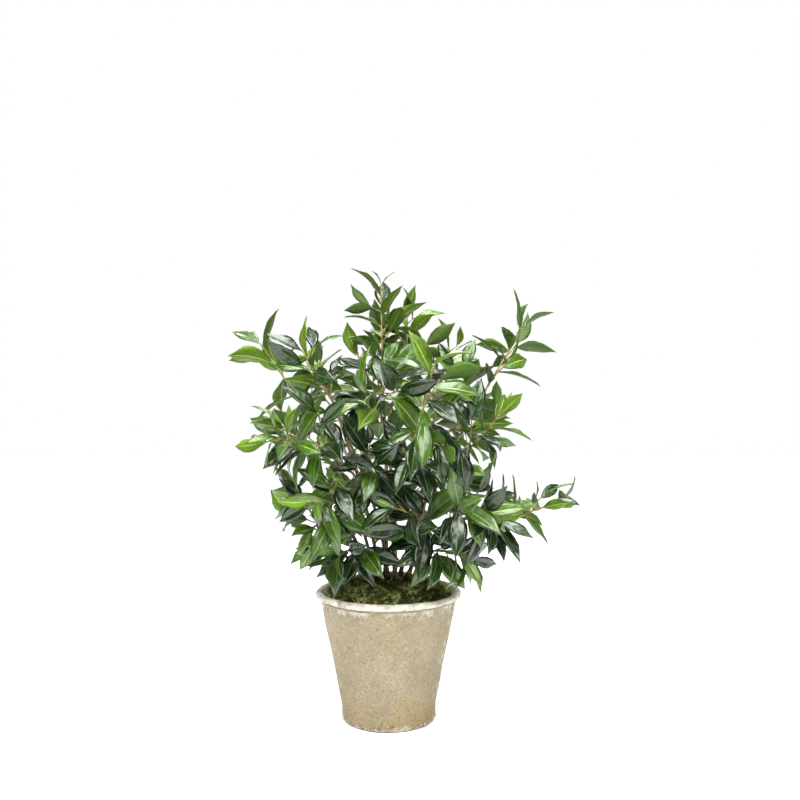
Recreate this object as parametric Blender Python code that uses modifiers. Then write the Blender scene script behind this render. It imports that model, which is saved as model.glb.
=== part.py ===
"""Bay topiary: a bushy bay shrub of many slender stems, with its weathered clay pot.

The pot stands on its flat underside at z = 0, with its axis on the Z axis, and the plant's
front faces -Y. A filling and a cushion of moss close the pot. Thirteen stems rise from the
moss, boughs fork from them, and leafy shoots, each fused into one solid, end the boughs.
All lengths are in metres.
"""
import math
import random

import bmesh
import bpy
from mathutils import Matrix, Vector
from mathutils.bvhtree import BVHTree

OBJECT_NAME = "bay_topiary"

# Clearance between solids that would touch
GAP = 0.0003

# Pot: a nearly upright foot band, a tapered clay body and a rounded rim
POT_HEIGHT = 0.211
POT_BASE_RADIUS = 0.0760
FOOT_BAND_HEIGHT = 0.028
FOOT_BAND_DRAFT = 0.06
POT_DRAFT = 0.2065
POT_WALL = 0.010
POT_FLOOR = 0.012
FOOT_ROUNDING = 0.0025
FOOT_KNEE_IN = 0.3
FOOT_KNEE_UP = 0.6
RIM_RADIUS = 0.1205
RIM_MOUTH_RADIUS = 0.1095
RIM_HEIGHT = 0.011
RIM_THROAT = 0.016
RIM_ROUND_STEPS = 3
TURNED_STEPS = 36
TURNED_SHARP_ANGLE = math.radians(35)
MERGE_DISTANCE = 0.00001

# Moss cushion on the filling
MOSS_UNDERSIDE = 0.180
MOSS_EDGE = 0.204
MOSS_TOP = 0.2260
MOSS_PLATEAU_RADIUS = 0.052
MOSS_DOME_STEPS = 3
FILL_CLEARANCE = 0.0005

# Limbs
STEM_RINGS = 7
BOUGH_RINGS = 5
SHOOT_RINGS = 5
STEM_SIDES_RESOLUTION = 2
BOUGH_SIDES_RESOLUTION = 1
SHOOT_SIDES_RESOLUTION = 0
ROOT_FLARE = 0.35
ROOT_FLARE_LENGTH = 0.016
ROOT_FLARE_RINGS = (0.4, 1.2)
FOLLOW_PARENT = 0.45
SUNK = 0.012
NEARLY_UPRIGHT = 0.05

# Blade of a leaf: shape, then its bend, fold and twist in degrees
LEAF_WIDTH_RATIO = 0.42
LEAF_THICKNESS_RATIO = 0.020
LEAF_STATIONS = (0.32, 0.67)
STATION_FULLNESS = 1.06
BLADE_SKEW = 0.92
BLADE_ROUNDNESS = 0.85
LEAF_BEND = (18, 48)
LEAF_FOLD = (8, 20)
LEAF_TWIST = 26

# Shoots and their side twigs
GOLDEN_TURN = math.radians(137.5)
SHOOT_RADIUS = 0.0016
SHOOT_TIP_RADIUS = 0.0011
LEAVES_PER_TWIG = 11
TWIG_RADIUS = 0.0012
TWIG_TIP_RADIUS = 0.0009
TWIG_FIRST = 0.22
TWIG_STEP = 0.30
TWIG_STEP_SPREAD = 0.04
TWIG_SHARE = 0.55
TWIG_LONGEST = 0.048
TWIG_SHORTEST = 0.026
TWIG_LENGTH_SPREAD = (0.85, 1.10)
TWIG_LEAN = (38, 52)
TWIG_RISE = 0.15

# Leaves on a side twig: share of the twig, turn past the first, pitch in degrees, size
TWIG_LEAVES = (
    (0.98, 0.0, 12, 0.92),
    (0.78, 1.2, 50, 0.90),
    (0.50, 4.3, 58, 0.96),
)

# Leaves on a shoot, from the lowest to the one at its tip
LEAVES_START = 0.10
LEAVES_END = 0.98
LEAVES_CROWDING = 0.85
LOWEST_PITCH = 70
TIP_PITCH = 14
PITCH_CURVE = 1.6
LOWEST_SIZE = 1.00
MIDDLE_GAIN = 0.07
TIP_LOSS = 0.18
LENGTH_SPREAD = (0.90, 1.10)
TURN_SPREAD = 14
PITCH_SPREAD = 7

# Other turns tried, in degrees, where a leaf or twig has no room, and the light it faces
TRY_TURNS = (0, 24, -24, 48, -48, 75, -75)
TRY_SHRINK = 0.03
CROWN_AXIS_X = 0.019
FULL_LIGHT_RADIUS = 0.10
FACE_OUT = 0.45
FACE_UP = 0.25

# Space the crown keeps to
CROWN_LEFT = -0.274
CROWN_RIGHT = 0.313
CROWN_DEPTH = 0.285
CROWN_TOP = 0.750
CROWN_BOTTOM = 0.214

CLAY = ("clay_pot_body", (0.72, 0.65, 0.50, 1.0), 0.85)
FILLING = ("filling_foam", (0.16, 0.12, 0.08, 1.0), 0.95)
MOSS = ("moss", (0.06, 0.09, 0.02, 1.0), 0.95)
BARK = ("brown_bark", (0.16, 0.09, 0.05, 1.0), 0.75)
LEAF = ("bay_leaf", (0.035, 0.11, 0.035, 1.0), 0.35)

# name, foot x and y, tip, sideways bow, diameters at foot and tip
STEMS = (
    ("stem_leader", (-0.006, 0.010), (-0.008, 0.002, 0.520), (0.004, 0.002, 0), 0.0070, 0.0044),
    ("stem_left", (-0.015, -0.016), (-0.087, -0.100, 0.423), (-0.012, 0.0, 0), 0.0064, 0.0044),
    ("stem_left_high", (0.000, -0.010), (-0.046, -0.058, 0.420), (0.008, -0.004, 0), 0.0062, 0.0044),
    ("stem_upper_left", (-0.024, 0.024), (-0.112, -0.008, 0.470), (0.012, -0.004, 0), 0.0062, 0.0042),
    ("stem_left_low", (-0.030, 0.004), (-0.092, -0.026, 0.300), (-0.010, 0.004, 0.004), 0.0056, 0.0040),
    ("stem_front", (0.012, -0.026), (0.038, -0.122, 0.455), (-0.014, 0.010, 0), 0.0062, 0.0042),
    ("stem_right", (0.018, 0.014), (0.083, -0.020, 0.401), (-0.006, 0.010, 0), 0.0066, 0.0048),
    ("stem_right_low", (0.026, -0.010), (0.104, -0.100, 0.337), (-0.004, 0.004, 0.008), 0.0062, 0.0044),
    ("stem_front_low", (0.044, -0.006), (0.062, -0.074, 0.278), (0.004, -0.006, 0.006), 0.0054, 0.0040),
    ("stem_rear_right", (0.034, 0.034), (0.078, 0.080, 0.490), (0.008, 0.008, 0), 0.0064, 0.0044),
    ("stem_rear", (0.010, 0.044), (-0.014, 0.110, 0.490), (0.010, 0.004, 0), 0.0064, 0.0044),
    ("stem_rear_left", (-0.016, 0.046), (-0.084, 0.102, 0.475), (0.006, 0.006, 0), 0.0064, 0.0044),
    ("stem_rear_low", (0.046, 0.016), (0.104, 0.052, 0.305), (-0.004, 0.004, 0.008), 0.0058, 0.0042),
)

# name, parent, share of the parent's length where it leaves, tip, diameters at root and tip
BOUGHS = (
    ("bough_left", "stem_left", 1.0, (-0.122, -0.112, 0.448), 0.0040, 0.0036),
    ("bough_left_high", "stem_left_high", 1.0, (-0.080, -0.066, 0.505), 0.0042, 0.0036),
    ("bough_centre_left", "stem_left_high", 0.88, (-0.030, -0.082, 0.482), 0.0040, 0.0034),
    ("bough_right_high", "stem_right", 1.0, (0.112, -0.012, 0.455), 0.0046, 0.0040),
    ("bough_upper_right", "bough_right_high", 1.0, (0.158, -0.004, 0.536), 0.0038, 0.0034),
    ("bough_right", "stem_right", 0.86, (0.116, -0.040, 0.430), 0.0040, 0.0034),
    ("bough_right_low", "stem_right_low", 1.0, (0.160, -0.084, 0.336), 0.0042, 0.0036),
    ("bough_right_skirt", "stem_right_low", 0.34, (0.094, -0.098, 0.288), 0.0040, 0.0034),
    ("bough_top_right", "stem_leader", 0.80, (0.022, 0.036, 0.560), 0.0040, 0.0034),
    ("bough_rear_left", "stem_rear_left", 0.62, (-0.126, 0.112, 0.432), 0.0040, 0.0034),
)

# name, parent, share of the parent's length, tip, leaves, leaf length, first turn, droop
SHOOTS = (
    ("top", "stem_leader", 1.0, (-0.012, 0.000, 0.712), 16, 0.080, 20, 0.00),
    ("top_right", "bough_top_right", 1.0, (0.031, 0.068, 0.663), 12, 0.076, 330, 0.17),
    ("top_left", "stem_leader", 0.84, (-0.053, 0.036, 0.599), 11, 0.086, 40, 0.27),
    ("high_left", "bough_left_high", 1.0, (-0.133, -0.080, 0.599), 13, 0.082, 300, 0.30),
    ("centre_left", "bough_centre_left", 1.0, (0.007, -0.123, 0.563), 12, 0.086, 240, 0.19),
    ("upper_left", "stem_upper_left", 1.0, (-0.215, 0.017, 0.617), 14, 0.088, 180, 0.00),
    ("left", "bough_left", 1.0, (-0.161, -0.141, 0.467), 12, 0.074, 100, 0.07),
    ("left_inner", "stem_left", 0.8, (-0.101, -0.162, 0.503), 11, 0.088, 160, 0.13),
    ("middle_left", "stem_left", 0.62, (-0.094, -0.163, 0.369), 11, 0.084, 30, 0.45),
    ("left_skirt", "stem_left", 0.26, (-0.074, -0.093, 0.283), 10, 0.080, 110, 0.50),
    ("middle", "stem_left_high", 0.7, (-0.027, -0.119, 0.454), 11, 0.088, 270, 0.30),
    ("left_low", "stem_left_low", 1.0, (-0.155, -0.052, 0.376), 12, 0.072, 330, 0.05),
    ("left_lowest", "stem_left_low", 0.66, (-0.114, -0.086, 0.323), 9, 0.070, 60, 0.05),
    ("front_high", "stem_front", 1.0, (0.068, -0.181, 0.574), 13, 0.088, 0, 0.47),
    ("front_mid", "stem_front", 0.66, (0.066, -0.155, 0.465), 11, 0.084, 150, 0.30),
    ("front_low", "stem_right_low", 0.62, (0.009, -0.132, 0.362), 10, 0.088, 330, 0.36),
    ("front_low_right", "stem_right_low", 0.82, (0.118, -0.162, 0.390), 11, 0.088, 210, 0.05),
    ("right_low", "bough_right_low", 1.0, (0.272, -0.066, 0.365), 13, 0.064, 120, 0.01),
    ("right_under", "bough_right_low", 0.45, (0.169, -0.140, 0.343), 10, 0.078, 270, 0.03),
    ("right_skirt", "bough_right_skirt", 1.0, (0.125, -0.110, 0.283), 9, 0.068, 240, 0.37),
    ("front_skirt", "stem_front_low", 1.0, (0.079, -0.112, 0.296), 9, 0.076, 210, 0.65),
    ("right_mid", "stem_right", 0.7, (0.104, -0.080, 0.412), 11, 0.088, 290, 0.03),
    ("right", "bough_right", 1.0, (0.177, -0.046, 0.498), 10, 0.076, 240, 0.10),
    ("right_high", "bough_right_high", 0.84, (0.125, -0.021, 0.571), 11, 0.080, 40, 0.00),
    ("upper_right", "bough_upper_right", 1.0, (0.228, 0.018, 0.649), 13, 0.077, 300, 0.00),
    ("rear_right_high", "stem_rear_right", 1.0, (0.105, 0.097, 0.613), 13, 0.074, 130, 0.22),
    ("rear_right", "stem_rear_right", 0.78, (0.176, 0.116, 0.500), 12, 0.085, 285, 0.00),
    ("rear_top", "stem_rear", 1.0, (-0.020, 0.118, 0.640), 13, 0.082, 320, 0.10),
    ("rear", "stem_rear", 0.74, (0.033, 0.199, 0.510), 12, 0.076, 140, 0.15),
    ("rear_left_high", "stem_rear_left", 1.0, (-0.122, 0.124, 0.590), 13, 0.076, 100, 0.05),
    ("rear_left", "bough_rear_left", 1.0, (-0.167, 0.143, 0.468), 12, 0.082, 330, 0.37),
    ("rear_low_left", "stem_rear_left", 0.36, (-0.099, 0.166, 0.369), 11, 0.082, 100, 0.13),
    ("rear_low", "stem_rear", 0.36, (0.055, 0.172, 0.355), 11, 0.086, 140, 0.30),
    ("rear_right_low", "stem_rear_low", 1.0, (0.194, 0.081, 0.356), 12, 0.074, 180, 0.27),
)


# ---------------------------------------------------------------- scene and materials

def clear_scene():
    for item in list(bpy.data.objects):
        bpy.data.objects.remove(item, do_unlink=True)


def new_collection(name):
    group = bpy.data.collections.new(name)
    bpy.context.scene.collection.children.link(group)
    return group


def make_material(name, colour, roughness):
    material = bpy.data.materials.new(name)
    material.use_nodes = True
    shader = material.node_tree.nodes["Principled BSDF"]
    shader.inputs["Base Color"].default_value = colour
    shader.inputs["Roughness"].default_value = roughness
    shader.inputs["Metallic"].default_value = 0.0
    material.diffuse_color = colour
    return material


def add_object(name, mesh, group, material):
    item = bpy.data.objects.new(name, mesh)
    mesh.materials.clear()
    mesh.materials.append(material)
    group.objects.link(item)
    return item


def mesh_from_bmesh(name, shape):
    bmesh.ops.recalc_face_normals(shape, faces=shape.faces[:])
    mesh = bpy.data.meshes.new(name)
    shape.to_mesh(mesh)
    shape.free()
    return mesh


def apply_modifiers(item):
    """Replace an object's mesh by what its modifiers make of it."""
    depsgraph = bpy.context.evaluated_depsgraph_get()
    depsgraph.update()
    old_mesh = item.data
    item.data = bpy.data.meshes.new_from_object(item.evaluated_get(depsgraph))
    item.modifiers.clear()
    bpy.data.meshes.remove(old_mesh)


# ---------------------------------------------------------------- pot, filling and moss

def pot_radius(z):
    """Outer radius of the pot's body."""
    band = min(z, FOOT_BAND_HEIGHT)
    return POT_BASE_RADIUS + FOOT_BAND_DRAFT * band + POT_DRAFT * (z - band)


def bore_radius(z):
    """Inner radius of the pot, which opens out through the rim's throat."""
    throat_start = POT_HEIGHT - RIM_THROAT
    bore = pot_radius(min(z, throat_start)) - POT_WALL
    opening = max(0.0, (z - throat_start) / RIM_THROAT)
    return bore + opening * (RIM_MOUTH_RADIUS - bore)


def rim_profile():
    """The rounded outer edge of the rim, from its mouth over the top to its underside."""
    rounding = RIM_HEIGHT / 2
    centre_r = RIM_RADIUS - rounding
    centre_z = POT_HEIGHT - rounding
    profile = []
    for step in range(2 * RIM_ROUND_STEPS + 1):
        angle = math.pi / 2 - math.pi * step / (2 * RIM_ROUND_STEPS)
        profile.append((centre_r + rounding * math.cos(angle), centre_z + rounding * math.sin(angle)))
    return profile


def turned(name, profile, group, material):
    """A solid of revolution about Z from a profile that starts and ends on the axis, top first."""
    mesh = bpy.data.meshes.new(name)
    points = [(radius, 0.0, z) for radius, z in profile]
    edges = [(index, index + 1) for index in range(len(points) - 1)]
    mesh.from_pydata(points, edges, [])
    item = add_object(name, mesh, group, material)
    screw = item.modifiers.new("turn", "SCREW")
    screw.axis = "Z"
    screw.angle = 2 * math.pi
    screw.steps = TURNED_STEPS
    screw.render_steps = TURNED_STEPS
    screw.use_merge_vertices = True
    screw.merge_threshold = MERGE_DISTANCE
    apply_modifiers(item)
    item.data.shade_smooth()
    item.data.set_sharp_from_angle(angle=TURNED_SHARP_ANGLE)
    return item


def build_pot(group, material):
    rim_underside = POT_HEIGHT - RIM_HEIGHT
    throat_start = POT_HEIGHT - RIM_THROAT
    profile = [
        (0.0, POT_FLOOR),
        (bore_radius(POT_FLOOR), POT_FLOOR),
        (bore_radius(FOOT_BAND_HEIGHT), FOOT_BAND_HEIGHT),
        (bore_radius(throat_start), throat_start),
        (RIM_MOUTH_RADIUS, POT_HEIGHT),
    ]
    profile += rim_profile()
    profile += [
        (pot_radius(rim_underside), rim_underside - GAP),
        (pot_radius(FOOT_BAND_HEIGHT), FOOT_BAND_HEIGHT),
        (pot_radius(2 * FOOT_ROUNDING), 2 * FOOT_ROUNDING),
        (POT_BASE_RADIUS - FOOT_KNEE_IN * FOOT_ROUNDING, FOOT_KNEE_UP * FOOT_ROUNDING),
        (POT_BASE_RADIUS - FOOT_ROUNDING, 0.0),
        (0.0, 0.0),
    ]
    return turned("pot", profile, group, material)


def build_filling(group, material):
    top = MOSS_UNDERSIDE - GAP
    bottom = POT_FLOOR + GAP
    profile = [
        (0.0, top),
        (bore_radius(top) - FILL_CLEARANCE, top),
        (bore_radius(FOOT_BAND_HEIGHT) - FILL_CLEARANCE, FOOT_BAND_HEIGHT),
        (bore_radius(bottom) - FILL_CLEARANCE, bottom),
        (0.0, bottom),
    ]
    return turned("filling", profile, group, material)


def build_moss(group, material):
    """A low dome with a level top that the stems stand on."""
    edge_radius = bore_radius(MOSS_EDGE) - FILL_CLEARANCE
    profile = [(0.0, MOSS_TOP)]
    for step in range(MOSS_DOME_STEPS + 1):
        share = step / MOSS_DOME_STEPS
        radius = MOSS_PLATEAU_RADIUS + share * (edge_radius - MOSS_PLATEAU_RADIUS)
        profile.append((radius, MOSS_TOP - (MOSS_TOP - MOSS_EDGE) * share ** 2))
    throat_start = POT_HEIGHT - RIM_THROAT
    profile += [
        (bore_radius(throat_start) - FILL_CLEARANCE, throat_start),
        (bore_radius(MOSS_UNDERSIDE) - FILL_CLEARANCE, MOSS_UNDERSIDE),
        (0.0, MOSS_UNDERSIDE),
    ]
    return turned("moss_cushion", profile, group, material)


# ---------------------------------------------------------------- limbs

class Limb:
    """A tapering limb along one smooth arc."""

    def __init__(self, name, root, control, tip, root_radius, tip_radius, flare=0.0):
        self.name = name
        self.root = Vector(root)
        self.control = Vector(control)
        self.tip = Vector(tip)
        self.root_radius = root_radius
        self.tip_radius = tip_radius
        self.flare = flare
        self.length = (self.tip - self.root).length

    def point(self, t):
        return (1 - t) ** 2 * self.root + 2 * t * (1 - t) * self.control + t ** 2 * self.tip

    def heading(self, t):
        way = 2 * (1 - t) * (self.control - self.root) + 2 * t * (self.tip - self.control)
        return way.normalized()

    def radius(self, t):
        taper = self.root_radius + t * (self.tip_radius - self.root_radius)
        return taper * (1 + self.flare * math.exp(-t * self.length / ROOT_FLARE_LENGTH))


def stem_limb(name, foot, tip, bow, foot_diameter, tip_diameter):
    root = Vector((foot[0], foot[1], MOSS_TOP + GAP))
    control = (root + Vector(tip)) / 2 + 2 * Vector(bow)
    return Limb(name, root, control, tip, foot_diameter / 2, tip_diameter / 2, ROOT_FLARE)


def branch_limb(name, parent, along, tip, root_radius, tip_radius):
    """A limb that leaves its parent's axis partly along the parent's own heading."""
    root = parent.point(along)
    chord = Vector(tip) - root
    start = (1 - FOLLOW_PARENT) * chord.normalized() + FOLLOW_PARENT * parent.heading(along)
    control = root + start.normalized() * chord.length / 2
    return Limb(name, root, control, tip, root_radius, tip_radius)


def tube_mesh(name, points, radii, sides_resolution):
    """A closed tube along points, made from a bevelled curve with filled caps."""
    curve = bpy.data.curves.new(name, "CURVE")
    curve.dimensions = "3D"
    curve.bevel_depth = 1.0
    curve.bevel_resolution = sides_resolution
    curve.use_fill_caps = True
    spline = curve.splines.new("POLY")
    spline.points.add(len(points) - 1)
    for knot, point, radius in zip(spline.points, points, radii):
        knot.co = (*point, 1.0)
        knot.radius = radius
    item = bpy.data.objects.new(name, curve)
    bpy.context.scene.collection.objects.link(item)
    depsgraph = bpy.context.evaluated_depsgraph_get()
    depsgraph.update()
    mesh = bpy.data.meshes.new_from_object(item.evaluated_get(depsgraph))
    bpy.data.objects.remove(item)
    bpy.data.curves.remove(curve)
    shape = bmesh.new()
    shape.from_mesh(mesh)
    bpy.data.meshes.remove(mesh)
    bmesh.ops.remove_doubles(shape, verts=shape.verts[:], dist=MERGE_DISTANCE)
    return mesh_from_bmesh(name, shape)


def ring_shares(limb, rings):
    """Where a limb's rings lie along it: close together over its root flare, then even."""
    shares = [0.0]
    if limb.flare:
        shares += [ring * ROOT_FLARE_LENGTH / limb.length for ring in ROOT_FLARE_RINGS]
    start = shares[-1]
    step = (1 - start) / (rings - 1)
    return shares + [start + step * index for index in range(1, rings)]


def limb_mesh(limb, rings, sides_resolution, swell=0.0, extra=0.0):
    """The limb's tube; swell thickens it and extra lengthens it past its tip."""
    shares = ring_shares(limb, rings)
    points = [limb.point(share) for share in shares]
    radii = [limb.radius(share) + swell for share in shares]
    points[-1] = points[-1] + extra * limb.heading(1.0)
    if limb.flare:
        points[0] = points[0] - SUNK * limb.heading(0.0)
    return tube_mesh(limb.name, points, radii, sides_resolution)


def cut_level(mesh, height):
    """Cut away what lies below a level plane and close the cut with a flat face."""
    shape = bmesh.new()
    shape.from_mesh(mesh)
    everything = shape.verts[:] + shape.edges[:] + shape.faces[:]
    cut = bmesh.ops.bisect_plane(shape, geom=everything, plane_co=(0, 0, height),
                                 plane_no=(0, 0, -1), clear_outer=True)
    rim = [part for part in cut["geom_cut"] if isinstance(part, bmesh.types.BMEdge)]
    bmesh.ops.edgeloop_fill(shape, edges=rim)
    bmesh.ops.recalc_face_normals(shape, faces=shape.faces[:])
    shape.to_mesh(mesh)
    shape.free()


def cut_clear(item, parent, rings, sides_resolution, cutters):
    """Cut a limb's root back to the standard clearance from its parent."""
    mesh = limb_mesh(parent, rings, sides_resolution, GAP, GAP)
    cutter = bpy.data.objects.new("clearance_of_" + parent.name, mesh)
    cutter.display_type = "WIRE"
    cutter.hide_render = True
    cutters.objects.link(cutter)
    cut = item.modifiers.new("clear of parent", "BOOLEAN")
    cut.operation = "DIFFERENCE"
    cut.object = cutter
    apply_modifiers(item)
    bpy.data.objects.remove(cutter)
    bpy.data.meshes.remove(mesh)


def build_limbs(group, cutters, material):
    """All stems and boughs, and what each is made with, by name."""
    limbs = {}
    for name, foot, tip, bow, foot_diameter, tip_diameter in STEMS:
        limb = stem_limb(name, foot, tip, bow, foot_diameter, tip_diameter)
        mesh = limb_mesh(limb, STEM_RINGS, STEM_SIDES_RESOLUTION)
        cut_level(mesh, limb.root.z)
        mesh.shade_smooth()
        item = add_object(name, mesh, group, material)
        limbs[name] = (limb, item, STEM_RINGS, STEM_SIDES_RESOLUTION)
    for name, parent_name, along, tip, root_diameter, tip_diameter in BOUGHS:
        parent, _, rings, resolution = limbs[parent_name]
        limb = branch_limb(name, parent, along, tip, root_diameter / 2, tip_diameter / 2)
        mesh = limb_mesh(limb, BOUGH_RINGS, BOUGH_SIDES_RESOLUTION)
        item = add_object(name, mesh, group, material)
        cut_clear(item, parent, rings, resolution, cutters)
        item.data.shade_smooth()
        limbs[name] = (limb, item, BOUGH_RINGS, BOUGH_SIDES_RESOLUTION)
    return limbs


# ---------------------------------------------------------------- leaves and twigs

class Leaf:
    """Where one leaf sits and how it is bent; its blade is worked out from this."""

    def __init__(self, root, ahead, up, length, bend, fold, twist):
        self.root = root
        self.ahead = ahead.normalized()
        self.side = self.ahead.cross(up).normalized()
        self.up = self.side.cross(self.ahead)
        self.length = length
        self.bend = bend
        self.fold = fold
        self.twist = twist

    def blade_point(self, t, s):
        """A point of the upper face: t from root to tip, s from the left edge to the right."""
        turn = self.bend * t
        reach = math.sin(turn) / self.bend
        drop = (1 - math.cos(turn)) / self.bend
        midrib = self.root + self.length * (reach * self.ahead - drop * self.up)
        lift = math.cos(turn) * self.up + math.sin(turn) * self.ahead
        roll = self.twist * t
        side = math.cos(roll) * self.side + math.sin(roll) * lift
        lift = math.cos(roll) * lift - math.sin(roll) * self.side
        half = self.length * LEAF_WIDTH_RATIO / 2 * blade_outline(t)
        across = s * half * math.cos(self.fold) * side
        rise = abs(s) * half * math.sin(self.fold) * lift
        return midrib + across + rise, lift


def blade_outline(t):
    """Half-width of a blade as a share of its largest, with a narrow base and a drawn-out tip."""
    return math.sin(math.pi * t ** BLADE_SKEW) ** BLADE_ROUNDNESS


def leaf_solid(leaf, swell=0.0):
    """Corners and faces of a blade: a flat top with sharp edges over a keel; swell fattens it."""
    corners = [leaf.root - swell * leaf.ahead]
    for t in LEAF_STATIONS:
        left, lift = leaf.blade_point(t, -STATION_FULLNESS)
        right, lift = leaf.blade_point(t, STATION_FULLNESS)
        thickness = leaf.length * LEAF_THICKNESS_RATIO
        corners.append(left - swell * leaf.side + swell * lift)
        corners.append(right + swell * leaf.side + swell * lift)
        corners.append((left + right) / 2 - (thickness + swell) * lift)
    corners.append(leaf.blade_point(1.0, 0)[0] + swell * leaf.ahead)
    faces = [
        (0, 2, 1), (0, 1, 3), (0, 3, 2),
        (1, 2, 5), (1, 5, 4), (1, 4, 6), (1, 6, 3), (3, 6, 5), (3, 5, 2),
        (4, 5, 7), (4, 7, 6), (6, 7, 5),
    ]
    return corners, faces


def perpendicular(way):
    """A level direction square to a way, turned the same for every limb."""
    level = way.cross(Vector((0, 0, 1)))
    if level.length < NEARLY_UPRIGHT:
        level = way.cross(Vector((0, 1, 0)))
    return level.normalized()


def around(way, turn):
    """The direction square to a way at an angle round it."""
    return Matrix.Rotation(turn, 3, way) @ perpendicular(way)


def place_leaf(root, way, turn, pitch, length, droop, draws):
    """A leaf at a pitch from its twig's way, drawn down by its weight and facing out to the light."""
    outward = around(way, turn)
    ahead = math.cos(pitch) * way + math.sin(pitch) * outward
    up = math.sin(pitch) * way - math.cos(pitch) * outward
    ahead = (ahead + droop * Vector((0, 0, -1))).normalized()
    out = Vector((root.x - CROWN_AXIS_X, root.y, 0.0)) / FULL_LIGHT_RADIUS
    if out.length > 1:
        out.normalize()
    up = up + FACE_OUT * out + FACE_UP * Vector((0, 0, 1))
    bend = math.radians(draws.uniform(*LEAF_BEND))
    fold = math.radians(draws.uniform(*LEAF_FOLD))
    twist = math.radians(draws.uniform(-LEAF_TWIST, LEAF_TWIST))
    return Leaf(root, ahead, up, length, bend, fold, twist)


class Space:
    """What is already placed; a new piece is let in only where it touches none of it."""

    def __init__(self):
        self.trees = []

    def add(self, owner, corners, faces):
        centre = sum(corners, Vector()) / len(corners)
        reach = max((corner - centre).length for corner in corners)
        self.trees.append((owner, centre, reach, BVHTree.FromPolygons(corners, faces)))

    def add_mesh(self, owner, mesh):
        corners = [vertex.co.copy() for vertex in mesh.vertices]
        self.add(owner, corners, [tuple(polygon.vertices) for polygon in mesh.polygons])

    def is_free(self, corners, faces, own):
        for corner in corners:
            if not (CROWN_LEFT < corner.x < CROWN_RIGHT and abs(corner.y) < CROWN_DEPTH):
                return False
            if not CROWN_BOTTOM < corner.z < CROWN_TOP:
                return False
        tree = BVHTree.FromPolygons(corners, faces)
        centre = sum(corners, Vector()) / len(corners)
        reach = max((corner - centre).length for corner in corners)
        for owner, other_centre, other_reach, other in self.trees:
            if owner in own or (other_centre - centre).length > reach + other_reach:
                continue
            if tree.overlap(other):
                return False
        return True


def twig_solid(root, tip, root_radius, tip_radius):
    """Corners and faces of a straight three-sided twig."""
    shape = bmesh.new()
    way = tip - root
    place = Matrix.Translation((root + tip) / 2) @ way.to_track_quat("Z", "Y").to_matrix().to_4x4()
    bmesh.ops.create_cone(shape, cap_ends=True, segments=3, radius1=root_radius,
                          radius2=tip_radius, depth=way.length, matrix=place)
    corners = [vertex.co.copy() for vertex in shape.verts]
    faces = [tuple(vertex.index for vertex in face.verts) for face in shape.faces]
    shape.free()
    return corners, faces


def grow_twigs(shoot, count, first_turn, space):
    """Side twigs of a shoot, each from a node in its lower part."""
    twigs = []
    for number in range(count):
        draws = random.Random(f"{shoot.name} twig {number}")
        share = TWIG_FIRST + TWIG_STEP * number + draws.uniform(-TWIG_STEP_SPREAD, TWIG_STEP_SPREAD)
        root = shoot.point(share)
        way = shoot.heading(share)
        length = min(TWIG_LONGEST, max(TWIG_SHORTEST, TWIG_SHARE * shoot.length))
        length *= draws.uniform(*TWIG_LENGTH_SPREAD)
        lean = math.radians(draws.uniform(*TWIG_LEAN))
        for extra_turn in TRY_TURNS:
            turn = first_turn + GOLDEN_TURN * (number + 0.5) + math.radians(extra_turn)
            heading = math.cos(lean) * way + math.sin(lean) * around(way, turn)
            heading = (heading + TWIG_RISE * Vector((0, 0, 1))).normalized()
            tip = root + length * heading
            swollen = twig_solid(root, tip, TWIG_RADIUS + GAP, TWIG_TIP_RADIUS + GAP)
            if space.is_free(*swollen, (shoot.name,)):
                twigs.append((root, tip))
                space.add(shoot.name + "_twig_" + str(number),
                          *twig_solid(root, tip, TWIG_RADIUS, TWIG_TIP_RADIUS))
                break
    return twigs


def leaf_size(share):
    """Size of a shoot's leaf: largest in the middle, least at the tip."""
    return LOWEST_SIZE + MIDDLE_GAIN * math.sin(math.pi * share) - TIP_LOSS * share ** 3


def leaf_places(shoot, twigs, count, first_turn):
    """Root, way, turn, pitch and size share of each leaf, and the stem it grows on."""
    places = []
    for number, (root, tip) in enumerate(twigs):
        way = (tip - root).normalized()
        owner = shoot.name + "_twig_" + str(number)
        for share, turn, pitch, size in TWIG_LEAVES:
            places.append((root.lerp(tip, share), way, first_turn + turn, math.radians(pitch), size, owner))
    on_stem = count - len(places)
    for number in range(on_stem):
        share = number / (on_stem - 1)
        along = LEAVES_START + (LEAVES_END - LEAVES_START) * share ** LEAVES_CROWDING
        pitch = math.radians(LOWEST_PITCH + (TIP_PITCH - LOWEST_PITCH) * share ** PITCH_CURVE)
        size = leaf_size(share)
        turn = first_turn + GOLDEN_TURN * number
        places.append((shoot.point(along), shoot.heading(along), turn, pitch, size, shoot.name))
    return places


def grow_leaves(shoot, twigs, count, length, first_turn, droop, space):
    """Leaves of a shoot; one that finds no free place near its own is left out."""
    leaves = []
    for number, place in enumerate(leaf_places(shoot, twigs, count, first_turn)):
        point, way, turn, pitch, size, owner = place
        for attempt, extra_turn in enumerate(TRY_TURNS):
            draws = random.Random(f"{shoot.name} leaf {number}")
            full_length = length * size * draws.uniform(*LENGTH_SPREAD) * (1 - TRY_SHRINK * attempt)
            full_turn = turn + math.radians(extra_turn + draws.uniform(-TURN_SPREAD, TURN_SPREAD))
            full_pitch = pitch + math.radians(draws.uniform(-PITCH_SPREAD, PITCH_SPREAD))
            root = point - SHOOT_TIP_RADIUS / 2 * around(way, full_turn)
            leaf = place_leaf(root, way, full_turn, full_pitch, full_length, droop, draws)
            if space.is_free(*leaf_solid(leaf, GAP), (owner,)):
                space.add(shoot.name + "_leaf_" + str(number), *leaf_solid(leaf))
                leaves.append(leaf)
                break
    return leaves


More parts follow.
